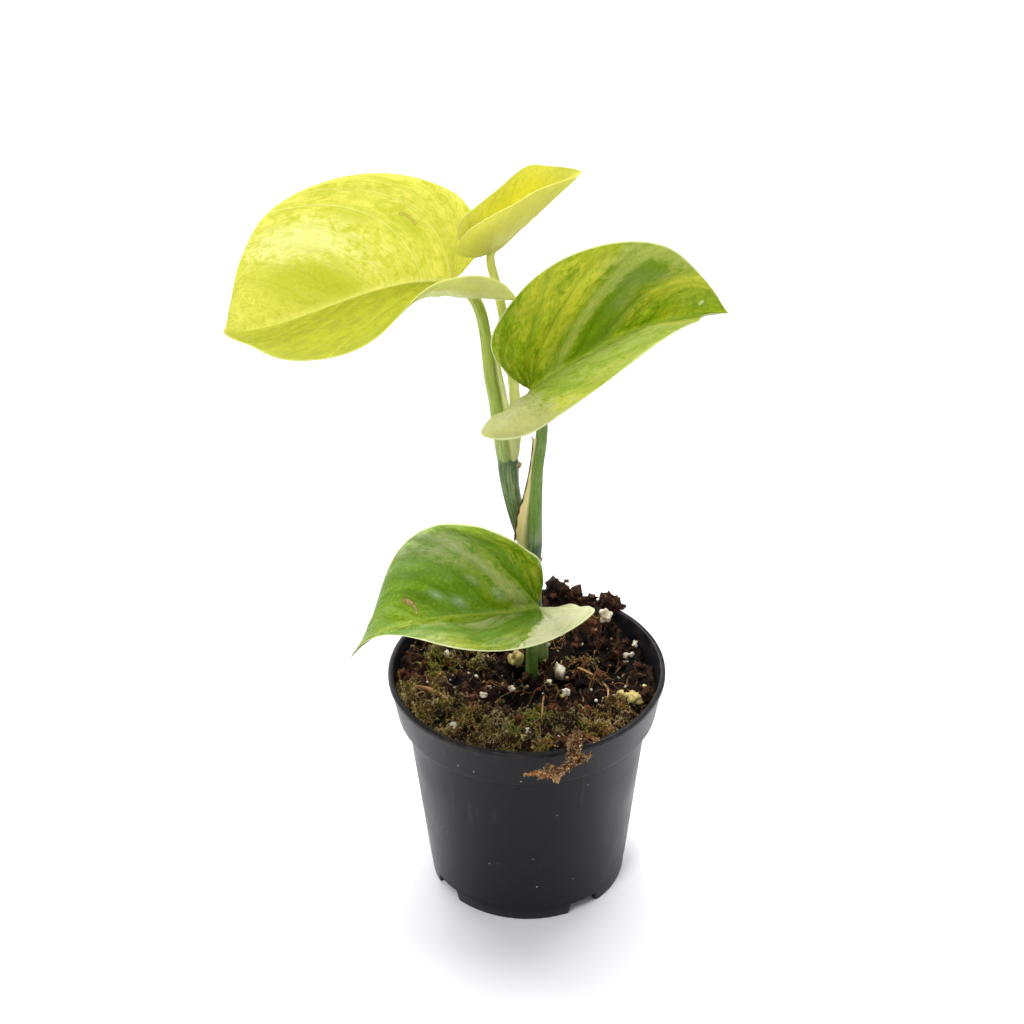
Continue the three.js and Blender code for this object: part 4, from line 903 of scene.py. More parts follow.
def add_sheath_edge(material):
    """The thin papery strip between the right stalk and its sheath's dried edge."""
    edge = catmull_rom(SHEATH_EDGE, 8)
    stalk = catmull_rom(STALKS["right"]["path"], 12)
    count = len(edge)
    share = np.linspace(0, 1, SHEATH_COLUMNS)
    middle = np.zeros((count, SHEATH_COLUMNS, 3))
    for i, place in enumerate(edge):
        centre = np.array([np.interp(place[2], stalk[:, 2], stalk[:, k]) for k in range(4)])
        root = centre[:3] + (SHEATH_ROOT[0] * centre[3], SHEATH_ROOT[1] * centre[3], 0)
        middle[i] = place + share[:, None] * (root - place)
        middle[i, :, 1] -= SHEATH_BULGE * np.sin(np.pi * share) * min(1, np.linalg.norm(root - place))
    middle[..., 0] += SHEATH_WAVE * np.sin(np.arange(count) * 0.9)[:, None] * (1 - share)
    half = np.where(share < DRIED_SHARE, DRIED_HALF_THICKNESS, PAPER_HALF_THICKNESS)
    half = half[None, :, None] * np.array((0, 1, 0))
    points = np.concatenate([(middle - half).reshape(-1, 3), (middle + half).reshape(-1, 3)])
    quads = []
    for i in range(count - 1):
        for k in range(SHEATH_COLUMNS - 1):
            quads.append([(i, k, 0), (i, k + 1, 0), (i + 1, k + 1, 0), (i + 1, k, 0)])
            quads.append([(i, k, 1), (i + 1, k, 1), (i + 1, k + 1, 1), (i, k + 1, 1)])
        for k in (0, SHEATH_COLUMNS - 1):
            quads.append([(i, k, 0), (i + 1, k, 0), (i + 1, k, 1), (i, k, 1)])
    for i in (0, count - 1):
        for k in range(SHEATH_COLUMNS - 1):
            quads.append([(i, k, 0), (i, k, 1), (i, k + 1, 1), (i, k + 1, 0)])
    faces = [[(layer * count + i) * SHEATH_COLUMNS + k for i, k, layer in quad] for quad in quads]
    piece = add_mesh("sheath_edge", points, faces, material)
    set_corners(piece, "run", [(share[k], edge[i, 2]) for quad in quads for i, k, _ in quad])


def stalk_path(name):
    """A stalk's line with its end under the blade, drawn out along the midrib."""
    centre, _, up = midrib(LEAVES["leaf_" + name], [end[0] for end in STALK_END])
    ends = [(*(centre[i] - up[i] * end[1]), end[2]) for i, end in enumerate(STALK_END)]
    return [*STALKS[name]["path"], *ends]


def flesh(name, stops, streak, dark):
    """Green flesh with lengthwise streaks. stops are colours by height in millimetres."""
    s = Shader(name)
    turn, run = s.uv("run")
    angle = turn * (2 * math.pi)
    ring = s.vector(s.math("COSINE", angle), s.math("SINE", angle), run * 0.045)
    streaks = s.noise(ring, 2.6, detail=5, roughness=0.65)
    fine = s.noise(s.scaled(ring, (1, 1, 0.35)), 7.5, roughness=0.6)
    blotch = s.noise(s.place, 260)
    low, high = stops[0][0], stops[-1][0]
    share = s.value("MapRange", {0: s.height() + blotch * 0.0004, 1: low * MM, 2: high * MM})
    colour = s.ramp(share, [((z - low) / (high - low), stop) for z, stop in stops])
    colour = s.mix(s.step(streaks, 0.5, 0.68, 0, 0.62), colour, streak)
    colour = s.mix(s.step(streaks, 0.36, 0.48, 0.6, 0), colour, dark)
    colour = s.mix(s.step(fine, 0.34, 0.48, 0.65, 0), colour, dark)
    colour = s.mix(s.step(s.noise(s.place, 2300, detail=2), 0.6, 0.72, 0, 0.35), colour, streak)
    colour = s.mix(s.step(blotch, 0.5, 0.75, 0, 0.3), colour, streak)
    return s.finish(colour, 0.42, s.bump(streaks + fine, 0.16, 0.6), 0.2)


def stem_shape(turn, distance):
    """Shallow lengthwise ridges."""
    angle = 2 * np.pi * turn
    return 1 + 0.02 * np.sin(angle * 7 + 0.03 * distance) + 0.012 * np.sin(angle * 11 + 1)


def sheath_shape(turn, distance):
    """A thin edge that points to the right."""
    off = np.abs((turn - 0.27 + 0.5) % 1 - 0.5)
    return 0.93 + 0.3 * np.exp(-((off / 0.035) ** 2)) + 0.02 * np.sin(distance * 1.7)


# The pot: its outline from the foot's outer edge up over the rim and down inside, with how far each
# corner is rounded, turned round the axis.
POT_SECTORS = 240
COLLAR_FOOT = POT["height"] - POT["collar_height"]
FLOOR_TOP = POT["floor_height"] + POT["floor_thickness"]
LEDGE = COLLAR_FOOT + POT["step_rise"] + POT["wall"]
PARTING_HEIGHT = 4.5
PARTING_STEP = 0.07
CORNER_STEPS = 5
FOOT_BEVEL = 0.15
FLOOR_SIDES = 96
HOLE_SIDES = 24
LEAVE_HOLES_OPEN = 5
NOTCH_CENTRES = [math.radians(FEET["first_degrees"] + 360 / FEET["count"] * i) for i in range(FEET["count"])]


def outer_radius(z):
    """The radius of the pot's body."""
    return POT["base_radius"] + (POT["body_top_radius"] - POT["base_radius"]) / COLLAR_FOOT * z


def inner_radius(z):
    """The pot's radius inside its wall."""
    if z < LEDGE:
        return outer_radius(z) - POT["wall"]
    rise = (POT["collar_top_radius"] - POT["collar_foot_radius"]) / (POT["collar_height"] - POT["lip_height"])
    in_collar = POT["collar_foot_radius"] + rise * (z - COLLAR_FOOT) - POT["wall"]
    return min(in_collar, POT["rim_radius"] - POT["lip_width"])


def rounded(outline):
    """An outline of (radius, height, rounding) with each corner turned into a small arc."""
    made = []
    for i, (r, z, rounding) in enumerate(outline):
        corner = np.array((r, z))
        if rounding == 0 or i in (0, len(outline) - 1):
            made.append(corner)
            continue
        before, after = np.array(outline[i - 1][:2]) - corner, np.array(outline[i + 1][:2]) - corner
        start = corner + before / np.linalg.norm(before) * rounding
        end = corner + after / np.linalg.norm(after) * rounding
        for t in np.linspace(0, 1, CORNER_STEPS):
            made.append((1 - t) ** 2 * start + 2 * t * (1 - t) * corner + t**2 * end)
    return np.array(made)


def notch_height(angle):
    """How far up the foot's ring is cut at an angle."""
    slope = (FEET["notch_height"] + 1) / ((FEET["notch_width"] - FEET["notch_width_at_top"]) / 2)
    highest = 0.0
    for centre in NOTCH_CENTRES:
        if math.cos(angle - centre) > 0:
            off = abs(POT["base_radius"] * math.sin(angle - centre))
            rise = (FEET["notch_width"] / 2 - off) * slope - 1
            highest = max(highest, min(rise, FEET["notch_height"]))
    return highest


def notch_angles():
    """Angles at which the foot's edge turns."""
    top = FEET["notch_width_at_top"] / 2
    slope = (FEET["notch_width"] / 2 - top) / (FEET["notch_height"] + 1)
    foot = FEET["notch_width"] / 2 - slope
    made = []
    for centre in NOTCH_CENTRES:
        for off in (-foot, -top, top, foot):
            made.append((centre + math.asin(off / POT["base_radius"])) % (2 * math.pi))
    return made


def add_pot():
    foot_top = FEET["notch_height"] + 0.5
    outline = rounded([
        (outer_radius(foot_top), foot_top, 0),
        (outer_radius(PARTING_HEIGHT), PARTING_HEIGHT, 0.03),
        (outer_radius(PARTING_HEIGHT) + PARTING_STEP, PARTING_HEIGHT + 0.05, 0.03),
        (POT["body_top_radius"], COLLAR_FOOT, 0.12),
        (POT["collar_foot_radius"], COLLAR_FOOT + POT["step_rise"], 0.3),
        (POT["collar_top_radius"], POT["height"] - POT["lip_height"], 0.12),
        (POT["rim_radius"], POT["height"] - POT["lip_height"], 0.2),
        (POT["rim_radius"], POT["height"], 0.4),
        (POT["rim_radius"] - POT["lip_width"], POT["height"], 0.35),
        (inner_radius(LEDGE), LEDGE, 0.2),
        (inner_radius(LEDGE - 0.01), LEDGE - 0.01, 0.2),
        (inner_radius(FLOOR_TOP), FLOOR_TOP, 0),
    ])
    foot_inner = POT["base_radius"] - POT["foot_width"]
    angles = sorted(set([2 * math.pi * k / POT_SECTORS for k in range(POT_SECTORS)] + notch_angles()))
    columns = []
    for angle in angles:
        low = notch_height(angle)
        foot = [
            (foot_inner, POT["floor_height"]),
            (foot_inner, low + FOOT_BEVEL),
            (foot_inner + FOOT_BEVEL, low),
            (outer_radius(low) - FOOT_BEVEL, low),
            (outer_radius(low + FOOT_BEVEL), low + FOOT_BEVEL),
        ]
        radius, z = np.concatenate([foot, outline]).T
        columns.append(np.stack([radius * math.cos(angle), radius * math.sin(angle), z], -1))
    rows = len(columns[0])
    faces = []
    for i in range(len(columns)):
        n = (i + 1) % len(columns)
        for k in range(rows - 1):
            faces.append([i * rows + k, n * rows + k, n * rows + k + 1, i * rows + k + 1])
    floor = floor_parts(foot_inner, inner_radius(FLOOR_TOP))
    points, faces, _ = joined([(np.concatenate(columns), faces), *floor])
    add_mesh("pot_shell", points, faces, pot_material(), replaced=["pot"])


def floor_parts(outer_below, outer_above):
    """The pot's floor from below and above, with its round drain holes and their walls."""
    centres = [(0.0, 0.0), *circle(DRAIN["ring_radius"], DRAIN["count"])]
    holes = [[Vector(p) for p in circle(DRAIN["hole_radius"], HOLE_SIDES, x, y)] for x, y in centres]
    parts = []
    for radius, z, order in ((outer_below, POT["floor_height"], -1), (outer_above, FLOOR_TOP, 1)):
        places = [Vector(p) for p in circle(radius, FLOOR_SIDES)]
        loops = [list(range(FLOOR_SIDES))]
        for hole in holes:
            loops.append([len(places) + k for k in reversed(range(HOLE_SIDES))])
            places += hole
        made = delaunay_2d_cdt(places, [], loops, LEAVE_HOLES_OPEN, 1e-5)
        flat = np.array([(p[0], p[1], z) for p in made[0]])
        parts.append((flat, [list(face)[::order] for face in made[2]]))
    for hole in holes:
        low = [(p[0], p[1], POT["floor_height"]) for p in hole]
        high = [(p[0], p[1], FLOOR_TOP) for p in hole]
        ends = [(k, (k + 1) % HOLE_SIDES) for k in range(HOLE_SIDES)]
        parts.append((np.array(low + high), [[k, k + HOLE_SIDES, n + HOLE_SIDES, n] for k, n in ends]))
    return parts


def pot_material():
    s = Shader("pot_plastic")
    cloud = s.noise(s.place, 55, detail=4, roughness=0.6)
    grain = s.noise(s.place, 2400, detail=2)
    scuffs = s.noise(s.scaled(s.place, (1, 1, 0.12)), 420, detail=4, roughness=0.65)
    colour = s.mix(cloud, (17, 17, 20), (27, 26, 30))
    colour = s.mix(s.step(scuffs, 0.6, 0.76, 0, 0.16), colour, (74, 73, 78))
    spots = s.step(s.voronoi(s.place, 300), 0.04, 0.075, 1, 0) * s.step(s.noise(s.place, 90), 0.46, 0.54)
    colour = s.mix(spots * 0.7, colour, (168, 158, 146))
    soiled = s.step(s.height(), 0.049, 0.0525) * s.step(s.noise(s.place, 330, detail=4), 0.5, 0.66)
    colour = s.mix(soiled * 0.3, colour, (70, 56, 44))
    rough = s.step(cloud, 0.3, 0.7, 0.3, 0.42) + spots * 0.3
    return s.finish(colour, rough, s.bump(grain + scuffs * 0.8, 0.025, 0.5), 0.13)


# The soil: waves, mounds and hollows as in the part's source, then finer lumps.
SOIL_LEVEL = 49.4
SOIL_TALLEST = 58
SOIL_GAP = 0.3
SOIL_RINGS = 92
SOIL_SECTORS = 330
SOIL_WAVES = (
    (0.55, 0.52, 0.31, 0.4), (0.5, -0.37, 0.61, 1.9), (0.35, 1.15, -0.42, 2.7), (0.3, 0.48, 1.27, 0.9),
)
SOIL_MOUNDS = (
    (8.5, 22, 5.6, 4.2), (18.5, 22.5, 3.6, 3.6), (3, 13, 1.6, 5), (-20, -12, 1.6, 9), (0, -24, 1.8, 9),
    (16, -20, 1.4, 7), (-22, 12, 1.2, 8), (-2.6, -9.5, -3.8, 2.7), (17, 8, -2.2, 5), (-12, 3, -1.4, 4),
    (24, 3, -0.8, 5), (1, 1.5, -1.4, 2.6),
)
LARGE_CRUMBS = (
    (7.4, 23, 56.4, 2.9), (10.6, 22.8, 54.6, 2.4), (5.4, 20.6, 53.4, 2.3), (18.6, 22.6, 53.4, 2.2),
    (14.6, 24, 52.6, 1.8),
)
# White and cream grains: which of them are cream, then x, y and radius of each.
CREAM_GRAINS = (0, 9, 14, 15)
LARGE_GRAINS = (
    (-2.3, 5.9, 1.5), (7.1, 2.4, 1.4), (8.4, -6.7, 1), (17.6, 18.7, 1.3), (-2.5, 9, 0.85), (4.8, -1.5, 0.5),
    (-9.2, -7.1, 0.65), (-3.4, -3.7, 0.7), (0.1, -20.8, 0.7), (-0.8, -22.4, 0.7), (-15.5, -17.2, 0.75),
    (-17.6, 7.9, 0.8), (22, 10.5, 0.6), (24.1, 13.8, 0.7), (20.2, -6.9, 1), (22.7, -8.7, 1.45),
)


def soil_height(x, y):
    """Height of the soil's surface without its finer lumps."""
    z = np.full(np.shape(x), float(SOIL_LEVEL))
    for amplitude, along_x, along_y, phase in SOIL_WAVES:
        z = z + amplitude * np.sin(along_x * x + along_y * y + phase)
    for mound_x, mound_y, height, reach in SOIL_MOUNDS:
        z = z + height * np.exp(-((x - mound_x) ** 2 + (y - mound_y) ** 2) / (2 * reach**2))
    return z


def lumpiness(x, y):
    """The finer rise and fall of the soil in millimetres, uneven from place to place."""
    place = Vector((x * 0.42, y * 0.42, 3.3))
    broad = noise.noise(place)
    middle = noise.noise(place * 2.6 + Vector((7, 1, 4)))
    ridge = 1 - abs(noise.noise(place * 1.7 + Vector((2, 9, 6)))) * 2.2
    small = 1 - abs(noise.noise(place * 5.2 + Vector((1, 5, 2)))) * 2.2
    tiny = noise.noise(place * 11)
    speck = noise.noise(place * 19)
    return 0.9 * broad + 0.8 * middle + 0.5 * ridge - 0.7 + 0.42 * small + 0.3 * tiny + 0.16 * speck


def soil_top(x, y):
    """Height of the finished soil surface at one place."""
    return min(float(soil_height(x, y)) + lumpiness(x, y), SOIL_TALLEST)


def soil_ground():
    """The soil's body: a fine top, its wall inside the pot and its underside on the pot's floor."""
    points = [(0, 0, soil_top(0, 0))]
    edge_radius = POT["collar_foot_radius"] - POT["wall"]
    for ring in range(1, SOIL_RINGS + 1):
        for cos, sin in circle(1, SOIL_SECTORS):
            edge = min(float(soil_height(edge_radius * cos, edge_radius * sin)), POT["height"])
            radius = ring / SOIL_RINGS * (inner_radius(edge) - SOIL_GAP)
            z = soil_top(radius * cos, radius * sin)
            if ring == SOIL_RINGS:
                z = min(z, float(soil_height(radius * cos, radius * sin)))
            points.append((radius * cos, radius * sin, z))
    ledge, low = LEDGE + SOIL_GAP, FLOOR_TOP + SOIL_GAP
    for beside, z in ((LEDGE, ledge), (COLLAR_FOOT, ledge), (low, low)):
        points += [(x, y, z) for x, y in circle(inner_radius(beside) - SOIL_GAP, SOIL_SECTORS)]
    points.append((0, 0, low))

    def at(ring, k):
        return 1 + (ring - 1) * SOIL_SECTORS + k % SOIL_SECTORS

    faces = []
    for k in range(SOIL_SECTORS):
        faces.append([0, at(1, k), at(1, k + 1)])
        for ring in range(1, SOIL_RINGS + 3):
            faces.append([at(ring, k), at(ring + 1, k), at(ring + 1, k + 1), at(ring, k + 1)])
        faces.append([len(points) - 1, at(SOIL_RINGS + 3, k + 1), at(SOIL_RINGS + 3, k)])
    return np.array(points), faces


def ball(detail):
    """Points and faces of a round ball of radius 1."""
    made = bmesh.new()
    bmesh.ops.create_icosphere(made, subdivisions=detail, radius=1)
    points = np.array([v.co[:] for v in made.verts])
    faces = [[v.index for v in f.verts] for f in made.faces]
    made.free()
    return points, faces


BALLS = {detail: ball(detail) for detail in (1, 2, 3)}


def lump(draw, place, radius, detail=2, rough=0.3, stretch=0.25):
    """An uneven lump: a ball pushed in and out by noise and stretched."""
    points, faces = BALLS[detail]
    seed = Vector((draw.uniform(0, 99), draw.uniform(0, 99), draw.uniform(0, 99)))
    out = []
    for p in points:
        broad, fine = noise.noise(Vector(p) * 1.3 + seed), noise.noise(Vector(p) * 3.4 + seed)
        out.append(1 + rough * (broad * 2 + fine))
    sizes = np.array([1 + draw.uniform(-stretch, stretch) for _ in range(3)])
    turn = np.array(Matrix.Rotation(draw.uniform(0, 2 * math.pi), 3, (draw.random(), draw.random(), 1)))
    return (points * np.array(out)[:, None] * sizes * radius) @ turn.T + np.array(place), faces


CRUMB_COUNT = 1300
CRUMB_REACH = 27.6
CLOD_CRUMBS = 110
CRUMB_SEED = 5
CRUMB_SMALLEST, CRUMB_RANGE = 0.2, 0.75
COARSE_CRUMB = 0.55
CLOD_CRUMB_SIZES = (0.15, 0.6)
GRAIN_COUNT = 190
GRAIN_REACH = 26.8
GRAIN_SEED = 11
GRAIN_SMALLEST, GRAIN_RANGE = 0.16, 0.42
CREAM_SHARE = 0.25
PAINTED_SHADE_LEVEL = 49.5


def add_soil():
    """The soil's ground with all its crumbs in one piece."""
    draw = random.Random(CRUMB_SEED)
    parts = [soil_ground()]
    for x, y, z, radius in LARGE_CRUMBS:
        parts.append(lump(draw, (x, y, z), radius * 0.8, detail=3, rough=0.7))
        for _ in range(CLOD_CRUMBS):
            way = Vector((draw.gauss(0, 1), draw.gauss(0, 1), draw.gauss(0.4, 0.8))).normalized()
            place = np.array((x, y, z)) + np.array(way) * radius * draw.uniform(0.6, 1.15)
            place[2] = min(place[2], SOIL_TALLEST + 0.6)
            parts.append(lump(draw, place, draw.uniform(*CLOD_CRUMB_SIZES), detail=1, rough=0.8, stretch=0.7))
    clods = len(parts)
    for _ in range(CRUMB_COUNT):
        x, y = place_within(draw, CRUMB_REACH)
        size = CRUMB_SMALLEST + CRUMB_RANGE * draw.random() ** 3
        place = (x, y, soil_top(x, y) + size * draw.uniform(-0.15, 0.45))
        detail = 2 if size > COARSE_CRUMB else 1
        parts.append(lump(draw, place, size, detail, rough=0.75, stretch=0.5))
    points, faces, counts = joined(parts)
    tones = [draw.uniform(0.1, 0.8) if i < clods else draw.random() for i in range(1, len(parts))]
    piece = add_mesh("soil_ground", points, faces, soil_material(), replaced=["soil"])
    set_points(piece, "tone", np.repeat([0.0, *tones], counts))
    # painted shade: darker in the soil's low places and dips
    low = [0.75 - lumpiness(x, y) * 0.6 + (PAINTED_SHADE_LEVEL - z) * 0.3 for x, y, z in points]
    set_points(piece, "painted_hollow_shade", np.clip(low, 0, 1))


def soil_material():
    s = Shader("soil")
    cloud = s.noise(s.place, 170, detail=6, roughness=0.68)
    fine = s.noise(s.place, 1100, detail=5, roughness=0.75)
    colour = s.mix(s.step(cloud, 0.4, 0.66), (20, 13, 9), (74, 46, 30))
    colour = s.mix(s.step(s.noise(s.place, 75, detail=4), 0.5, 0.65, 0, 0.6), colour, (76, 36, 22))
    colour = s.mix(s.step(s.attribute("tone"), 0.4, 1, 0, 0.8), colour, (124, 76, 50))
    colour = s.mix(s.step(fine, 0.57, 0.68, 0, 0.75), colour, (140, 100, 66))
    colour = s.mix(s.step(fine, 0.34, 0.47, 0.75, 0), colour, (14, 9, 6))
    # painted shade in the soil's low places
    colour = s.mix(s.step(s.attribute("painted_hollow_shade"), 0.45, 1, 0, 0.85), colour, (10, 7, 5))
    return s.finish(colour, s.step(cloud, 0.3, 0.7, 0.6, 0.9), s.bump(fine + cloud * 0.7, 0.9, 1), 0.12)


def add_grains():
    """White perlite and cream pebbles on the soil."""
    draw = random.Random(GRAIN_SEED)
    parts, cream = [], []
    for i, (x, y, radius) in enumerate(LARGE_GRAINS):
        z = float(soil_height(x, y)) + 0.45 * radius + 0.25
        parts.append(lump(draw, (x, y, z), radius, detail=3, rough=0.36))
        cream.append(1.0 if i in CREAM_GRAINS else draw.uniform(0, 0.35))
    for _ in range(GRAIN_COUNT):
        x, y = place_within(draw, GRAIN_REACH)
        size = GRAIN_SMALLEST + GRAIN_RANGE * draw.random() ** 2.4
        parts.append(lump(draw, (x, y, soil_top(x, y) + 0.35 * size), size))
        cream.append(1.0 if draw.random() < CREAM_SHARE else draw.uniform(0, 0.4))
    points, faces, counts = joined(parts)
    piece = add_mesh("soil_grains", points, faces, grain_material())
    set_points(piece, "cream", np.repeat(cream, counts))


def grain_material():
    s = Shader("grains")
    pores = s.noise(s.place, 1300, roughness=0.6)
    stain = s.noise(s.place, 420, detail=4, roughness=0.65)
    colour = s.mix(s.attribute("cream"), (218, 210, 194), (184, 170, 98))
    colour = s.mix(s.step(stain, 0.46, 0.66, 0, 0.8), colour, (122, 96, 60))
    colour = s.mix(s.step(pores, 0.3, 0.42, 0.55, 0), colour, (104, 84, 62))
    return s.finish(colour, 0.8, s.bump(pores, 0.2, 0.8))


# The little leaves of moss: how their sizes vary, then width and bulge in their lengths.
LEAFLET_SIZES = (0.55, 1.2)
LEAFLET_HALF_WIDTH = 0.24
LEAFLET_BULGE = 0.12


def strand(draw, path, steps, sides=3, leaflets=0, leaflet=0.5, droop=0.4):
    """A thin mossy strand through points with a radius: its stalk, then little pointed leaves along it.
    Gives its points, its faces and how near each point is to a leaf's tip."""
    centres, radii, fronts, flanks, _ = rings_along(path, steps)
    around = around_line(2 * np.pi * np.arange(sides) / sides, fronts, flanks)
    points = list((centres[:, None] + radii[:, None, None] * around).reshape(-1, 3))
    faces, tips = ring_faces(len(centres), sides), [0.0] * len(points)
    tangents = np.cross(fronts, flanks)
    for _ in range(leaflets):
        i = min(int(draw.uniform(0.1, 1) * len(centres)), len(centres) - 1)
        way = draw.uniform(0, 2 * math.pi)
        out = math.cos(way) * fronts[i] + math.sin(way) * flanks[i]
        flat = np.cross(tangents[i], out)
        size = leaflet * draw.uniform(*LEAFLET_SIZES)
        root = centres[i] + out * radii[i] * 0.7
        tip = root + (out * (1 - droop) + tangents[i] * draw.uniform(0.3, 1.1) * droop * 2) * size
        middle = (root + tip) / 2 + out * size * LEAFLET_BULGE
        width = flat * size * LEAFLET_HALF_WIDTH
        first = len(points)
        points += [root - width * 0.5, root + width * 0.5, middle + width, tip, middle - width]
        tips += [0.1, 0.1, 0.6, 1.0, 0.6]
        faces += [[first, first + 1, first + 2, first + 4], [first + 4, first + 2, first + 3]]
    return np.array(points), faces, tips


def add_strands(name, strands, material, replaced=()):
    """Many strands in one piece, each with a tone of its own."""
    points, faces, tips, tones = zip(*strands)
    points, faces, counts = joined(zip(points, faces))
    piece = add_mesh(name, points, faces, material, replaced)
    set_points(piece, "tip", np.concatenate(tips))
    set_points(piece, "tone", np.repeat(tones, counts))


MOSS_REACH = 28.1
MOSS_STEPS = 4
MOSS_SEED = 23
MOSS_LENGTHS = (1.2, 3.6)
MOSS_LIFTS = (0.1, 2.8)
MOSS_TURN = 0.8
MOSS_RADIUS, MOSS_TAPER = 0.19, 0.03
CLUMPS = 9
CLUMP_SPREAD = 1.2
# Where moss lies on the soil: x, y, reach, strands and how green it is.
MOSS_PATCHES = (
    (-19, -13, 6.5, 150, 0.55), (-12, -17, 6, 130, 0.5), (-23, -4, 4.5, 90, 0.5), (-20, 4, 5, 80, 0.75),
    (-8, -21, 5, 90, 0.4), (0, -16, 5, 110, 0.9), (5, -13, 4, 110, 1.0), (10, -17, 5, 90, 0.7),
    (16, -14, 4.5, 70, 0.35), (-12, 9, 5, 60, 0.7), (2, -22, 4, 50, 0.4), (13, 6, 4, 20, 0.4),
    (21, -12, 3.5, 40, 0.3), (-6, -12, 3, 40, 0.4), (-26.5, -3, 2, 40, 0.5), (-25.5, -9, 2.4, 50, 0.5),
    (-22.5, -15, 2.4, 50, 0.45), (-18, -20, 2.4, 50, 0.45), (-12, -24, 2.4, 50, 0.4), (-5, -26, 2.4, 45, 0.4),
    (4, -26, 2.4, 40, 0.5), (15, -22, 2.4, 35, 0.35),
)


def moss_strands():
    """Strands in clumps that lie within the patches and stay on the soil."""
    draw = random.Random(MOSS_SEED)
    made = []
    for x0, y0, reach, count, green in MOSS_PATCHES:
        clumps = [(*place_within(draw, reach, x0, y0), draw.uniform(0.4, 1)) for _ in range(CLUMPS)]
        for _ in range(count):
            clump_x, clump_y, size = draw.choice(clumps)
            x, y = draw.gauss(clump_x, CLUMP_SPREAD * size), draw.gauss(clump_y, CLUMP_SPREAD * size)
            heading, length = draw.uniform(0, 2 * math.pi), draw.uniform(*MOSS_LENGTHS)
            path, lift = [], draw.uniform(*MOSS_LIFTS) * size
            for k in range(MOSS_STEPS):
                if math.hypot(x, y) > MOSS_REACH:
                    x, y = x * MOSS_REACH / math.hypot(x, y), y * MOSS_REACH / math.hypot(x, y)
                rise = lift * math.sin(math.pi * (k + 0.4) / MOSS_STEPS)
                path.append((x, y, soil_top(x, y) + 0.1 + rise, MOSS_RADIUS - MOSS_TAPER * k))
                heading += draw.uniform(-MOSS_TURN, MOSS_TURN)
                x += length / MOSS_STEPS * math.cos(heading)
                y += length / MOSS_STEPS * math.sin(heading)
            grown = strand(draw, path, 3, leaflets=20, leaflet=0.52)
            made.append((*grown, min(max(green + draw.gauss(0, 0.25), 0), 1)))
    return made


def moss_material(name, dark, mid, tip, painted_gap_shade):
    s = Shader(name)
    fine = s.noise(s.place, 1500, detail=2)
    colour = s.mix(s.attribute("tone"), dark, mid)
    # painted shade: dark patches among the strands, for the gaps between clumps
    colour = s.mix(s.step(s.noise(s.place, 150, detail=4), 0.43, 0.55, 0, 0.9), colour, painted_gap_shade)
    colour = s.mix(s.step(s.noise(s.place, 260, detail=4), 0.5, 0.72, 0, 0.45), colour, tip)
    colour = s.mix(s.attribute("tip") * s.step(fine, 0.42, 0.62, 0, 0.8), colour, tip)
    return s.finish(colour, 0.85, s.bump(fine, 0.15, 0.6), 0.12)


# The number of strands on each of the tuft's branches, then the branches, as in the part's source.
TUFT_COUNTS = (30, 12, 10, 8, 5)
TUFT_SEED = 31
TUFT_SCATTER = 0.14
TUFT_FLATNESS = 0.6
TUFT_TURN = 0.4
TUFT_STRAND_RADIUS = 0.08
TUFT = (
    ((9, -21.6, 52.4, 0.9), (9.5, -25.4, 54.4, 1.4), (9.6, -29.2, 55.6, 1.5), (9.3, -32, 53.6, 1.7),
     (7.2, -32.2, 51, 1.5), (3.7, -31.9, 49.8, 1.1), (-0.2, -31.2, 48.9, 0.5)),
    ((8.6, -31.8, 53.2, 1.3), (10.6, -31.9, 53.4, 1), (12.6, -31.6, 53.8, 0.5)),
    ((7.4, -32, 51.2, 1.2), (6.4, -31.9, 49.4, 0.9), (5.8, -31.6, 47.4, 0.45)),
    ((5.6, -31.9, 50.4, 0.9), (3.6, -32, 51.4, 0.5)),
    ((9.6, -26, 54.6, 1.1), (12.6, -26.8, 54.8, 0.8), (14.8, -27.4, 54.6, 0.4)),
)


def tuft_strands():
    """Strands that follow the tuft's branches, spread over each branch's thickness."""
    draw = random.Random(TUFT_SEED)
    made = []
    for branch, count in zip(TUFT, TUFT_COUNTS):
        line = catmull_rom(branch, 4)
        for _ in range(count):
            way, share = draw.uniform(0, 2 * math.pi), math.sqrt(draw.random())
            first = draw.randrange(0, max(len(line) - 8, 1))
            last = min(first + draw.randrange(6, 14), len(line))
            path = []
            for x, y, z, r in line[first:last]:
                off = r * share
                aside = x + off * math.cos(way) + draw.gauss(0, TUFT_SCATTER)
                above = z + off * math.sin(way + 1) + draw.gauss(0, TUFT_SCATTER)
                path.append((aside, y + off * math.sin(way) * TUFT_FLATNESS, above, TUFT_STRAND_RADIUS))
                way += draw.uniform(-TUFT_TURN, TUFT_TURN)
            grown = strand(draw, path, 2, leaflets=7 * len(path), leaflet=0.58, droop=0.45)
            made.append((*grown, draw.random()))
    return made


# Single roots, straws and twigs on the soil: x, y, z and radius along each. Many more lie by chance.
FIBRES = (
    ((11.3, 4.5, 49.5, 0.3), (14, 1, 50.4, 0.3), (17.1, -2.9, 50.1, 0.26), (17.4, -8, 51.3, 0.2),
     (17, -16.8, 50.4, 0.12)),
    ((3.6, -7.1, 50.6, 0.2), (3.3, -12, 52.4, 0.22), (3.1, -17, 52.8, 0.2), (3, -21.7, 52.4, 0.16)),
    ((-24.1, -4, 51.2, 0.5), (-20.4, -6.2, 51.8, 0.6), (-16.7, -10.2, 52.3, 0.35)),
)
FIBRE_COUNT = 330
FIBRE_REACH = 26
FIBRE_LIMIT = 27
FIBRE_STEPS = 5
FIBRE_SEED = 41
FIBRE_LENGTHS = (2, 7)
FIBRE_RADII = (0.07, 0.18)
FIBRE_TAPER = 0.15
FIBRE_TURN = 0.7


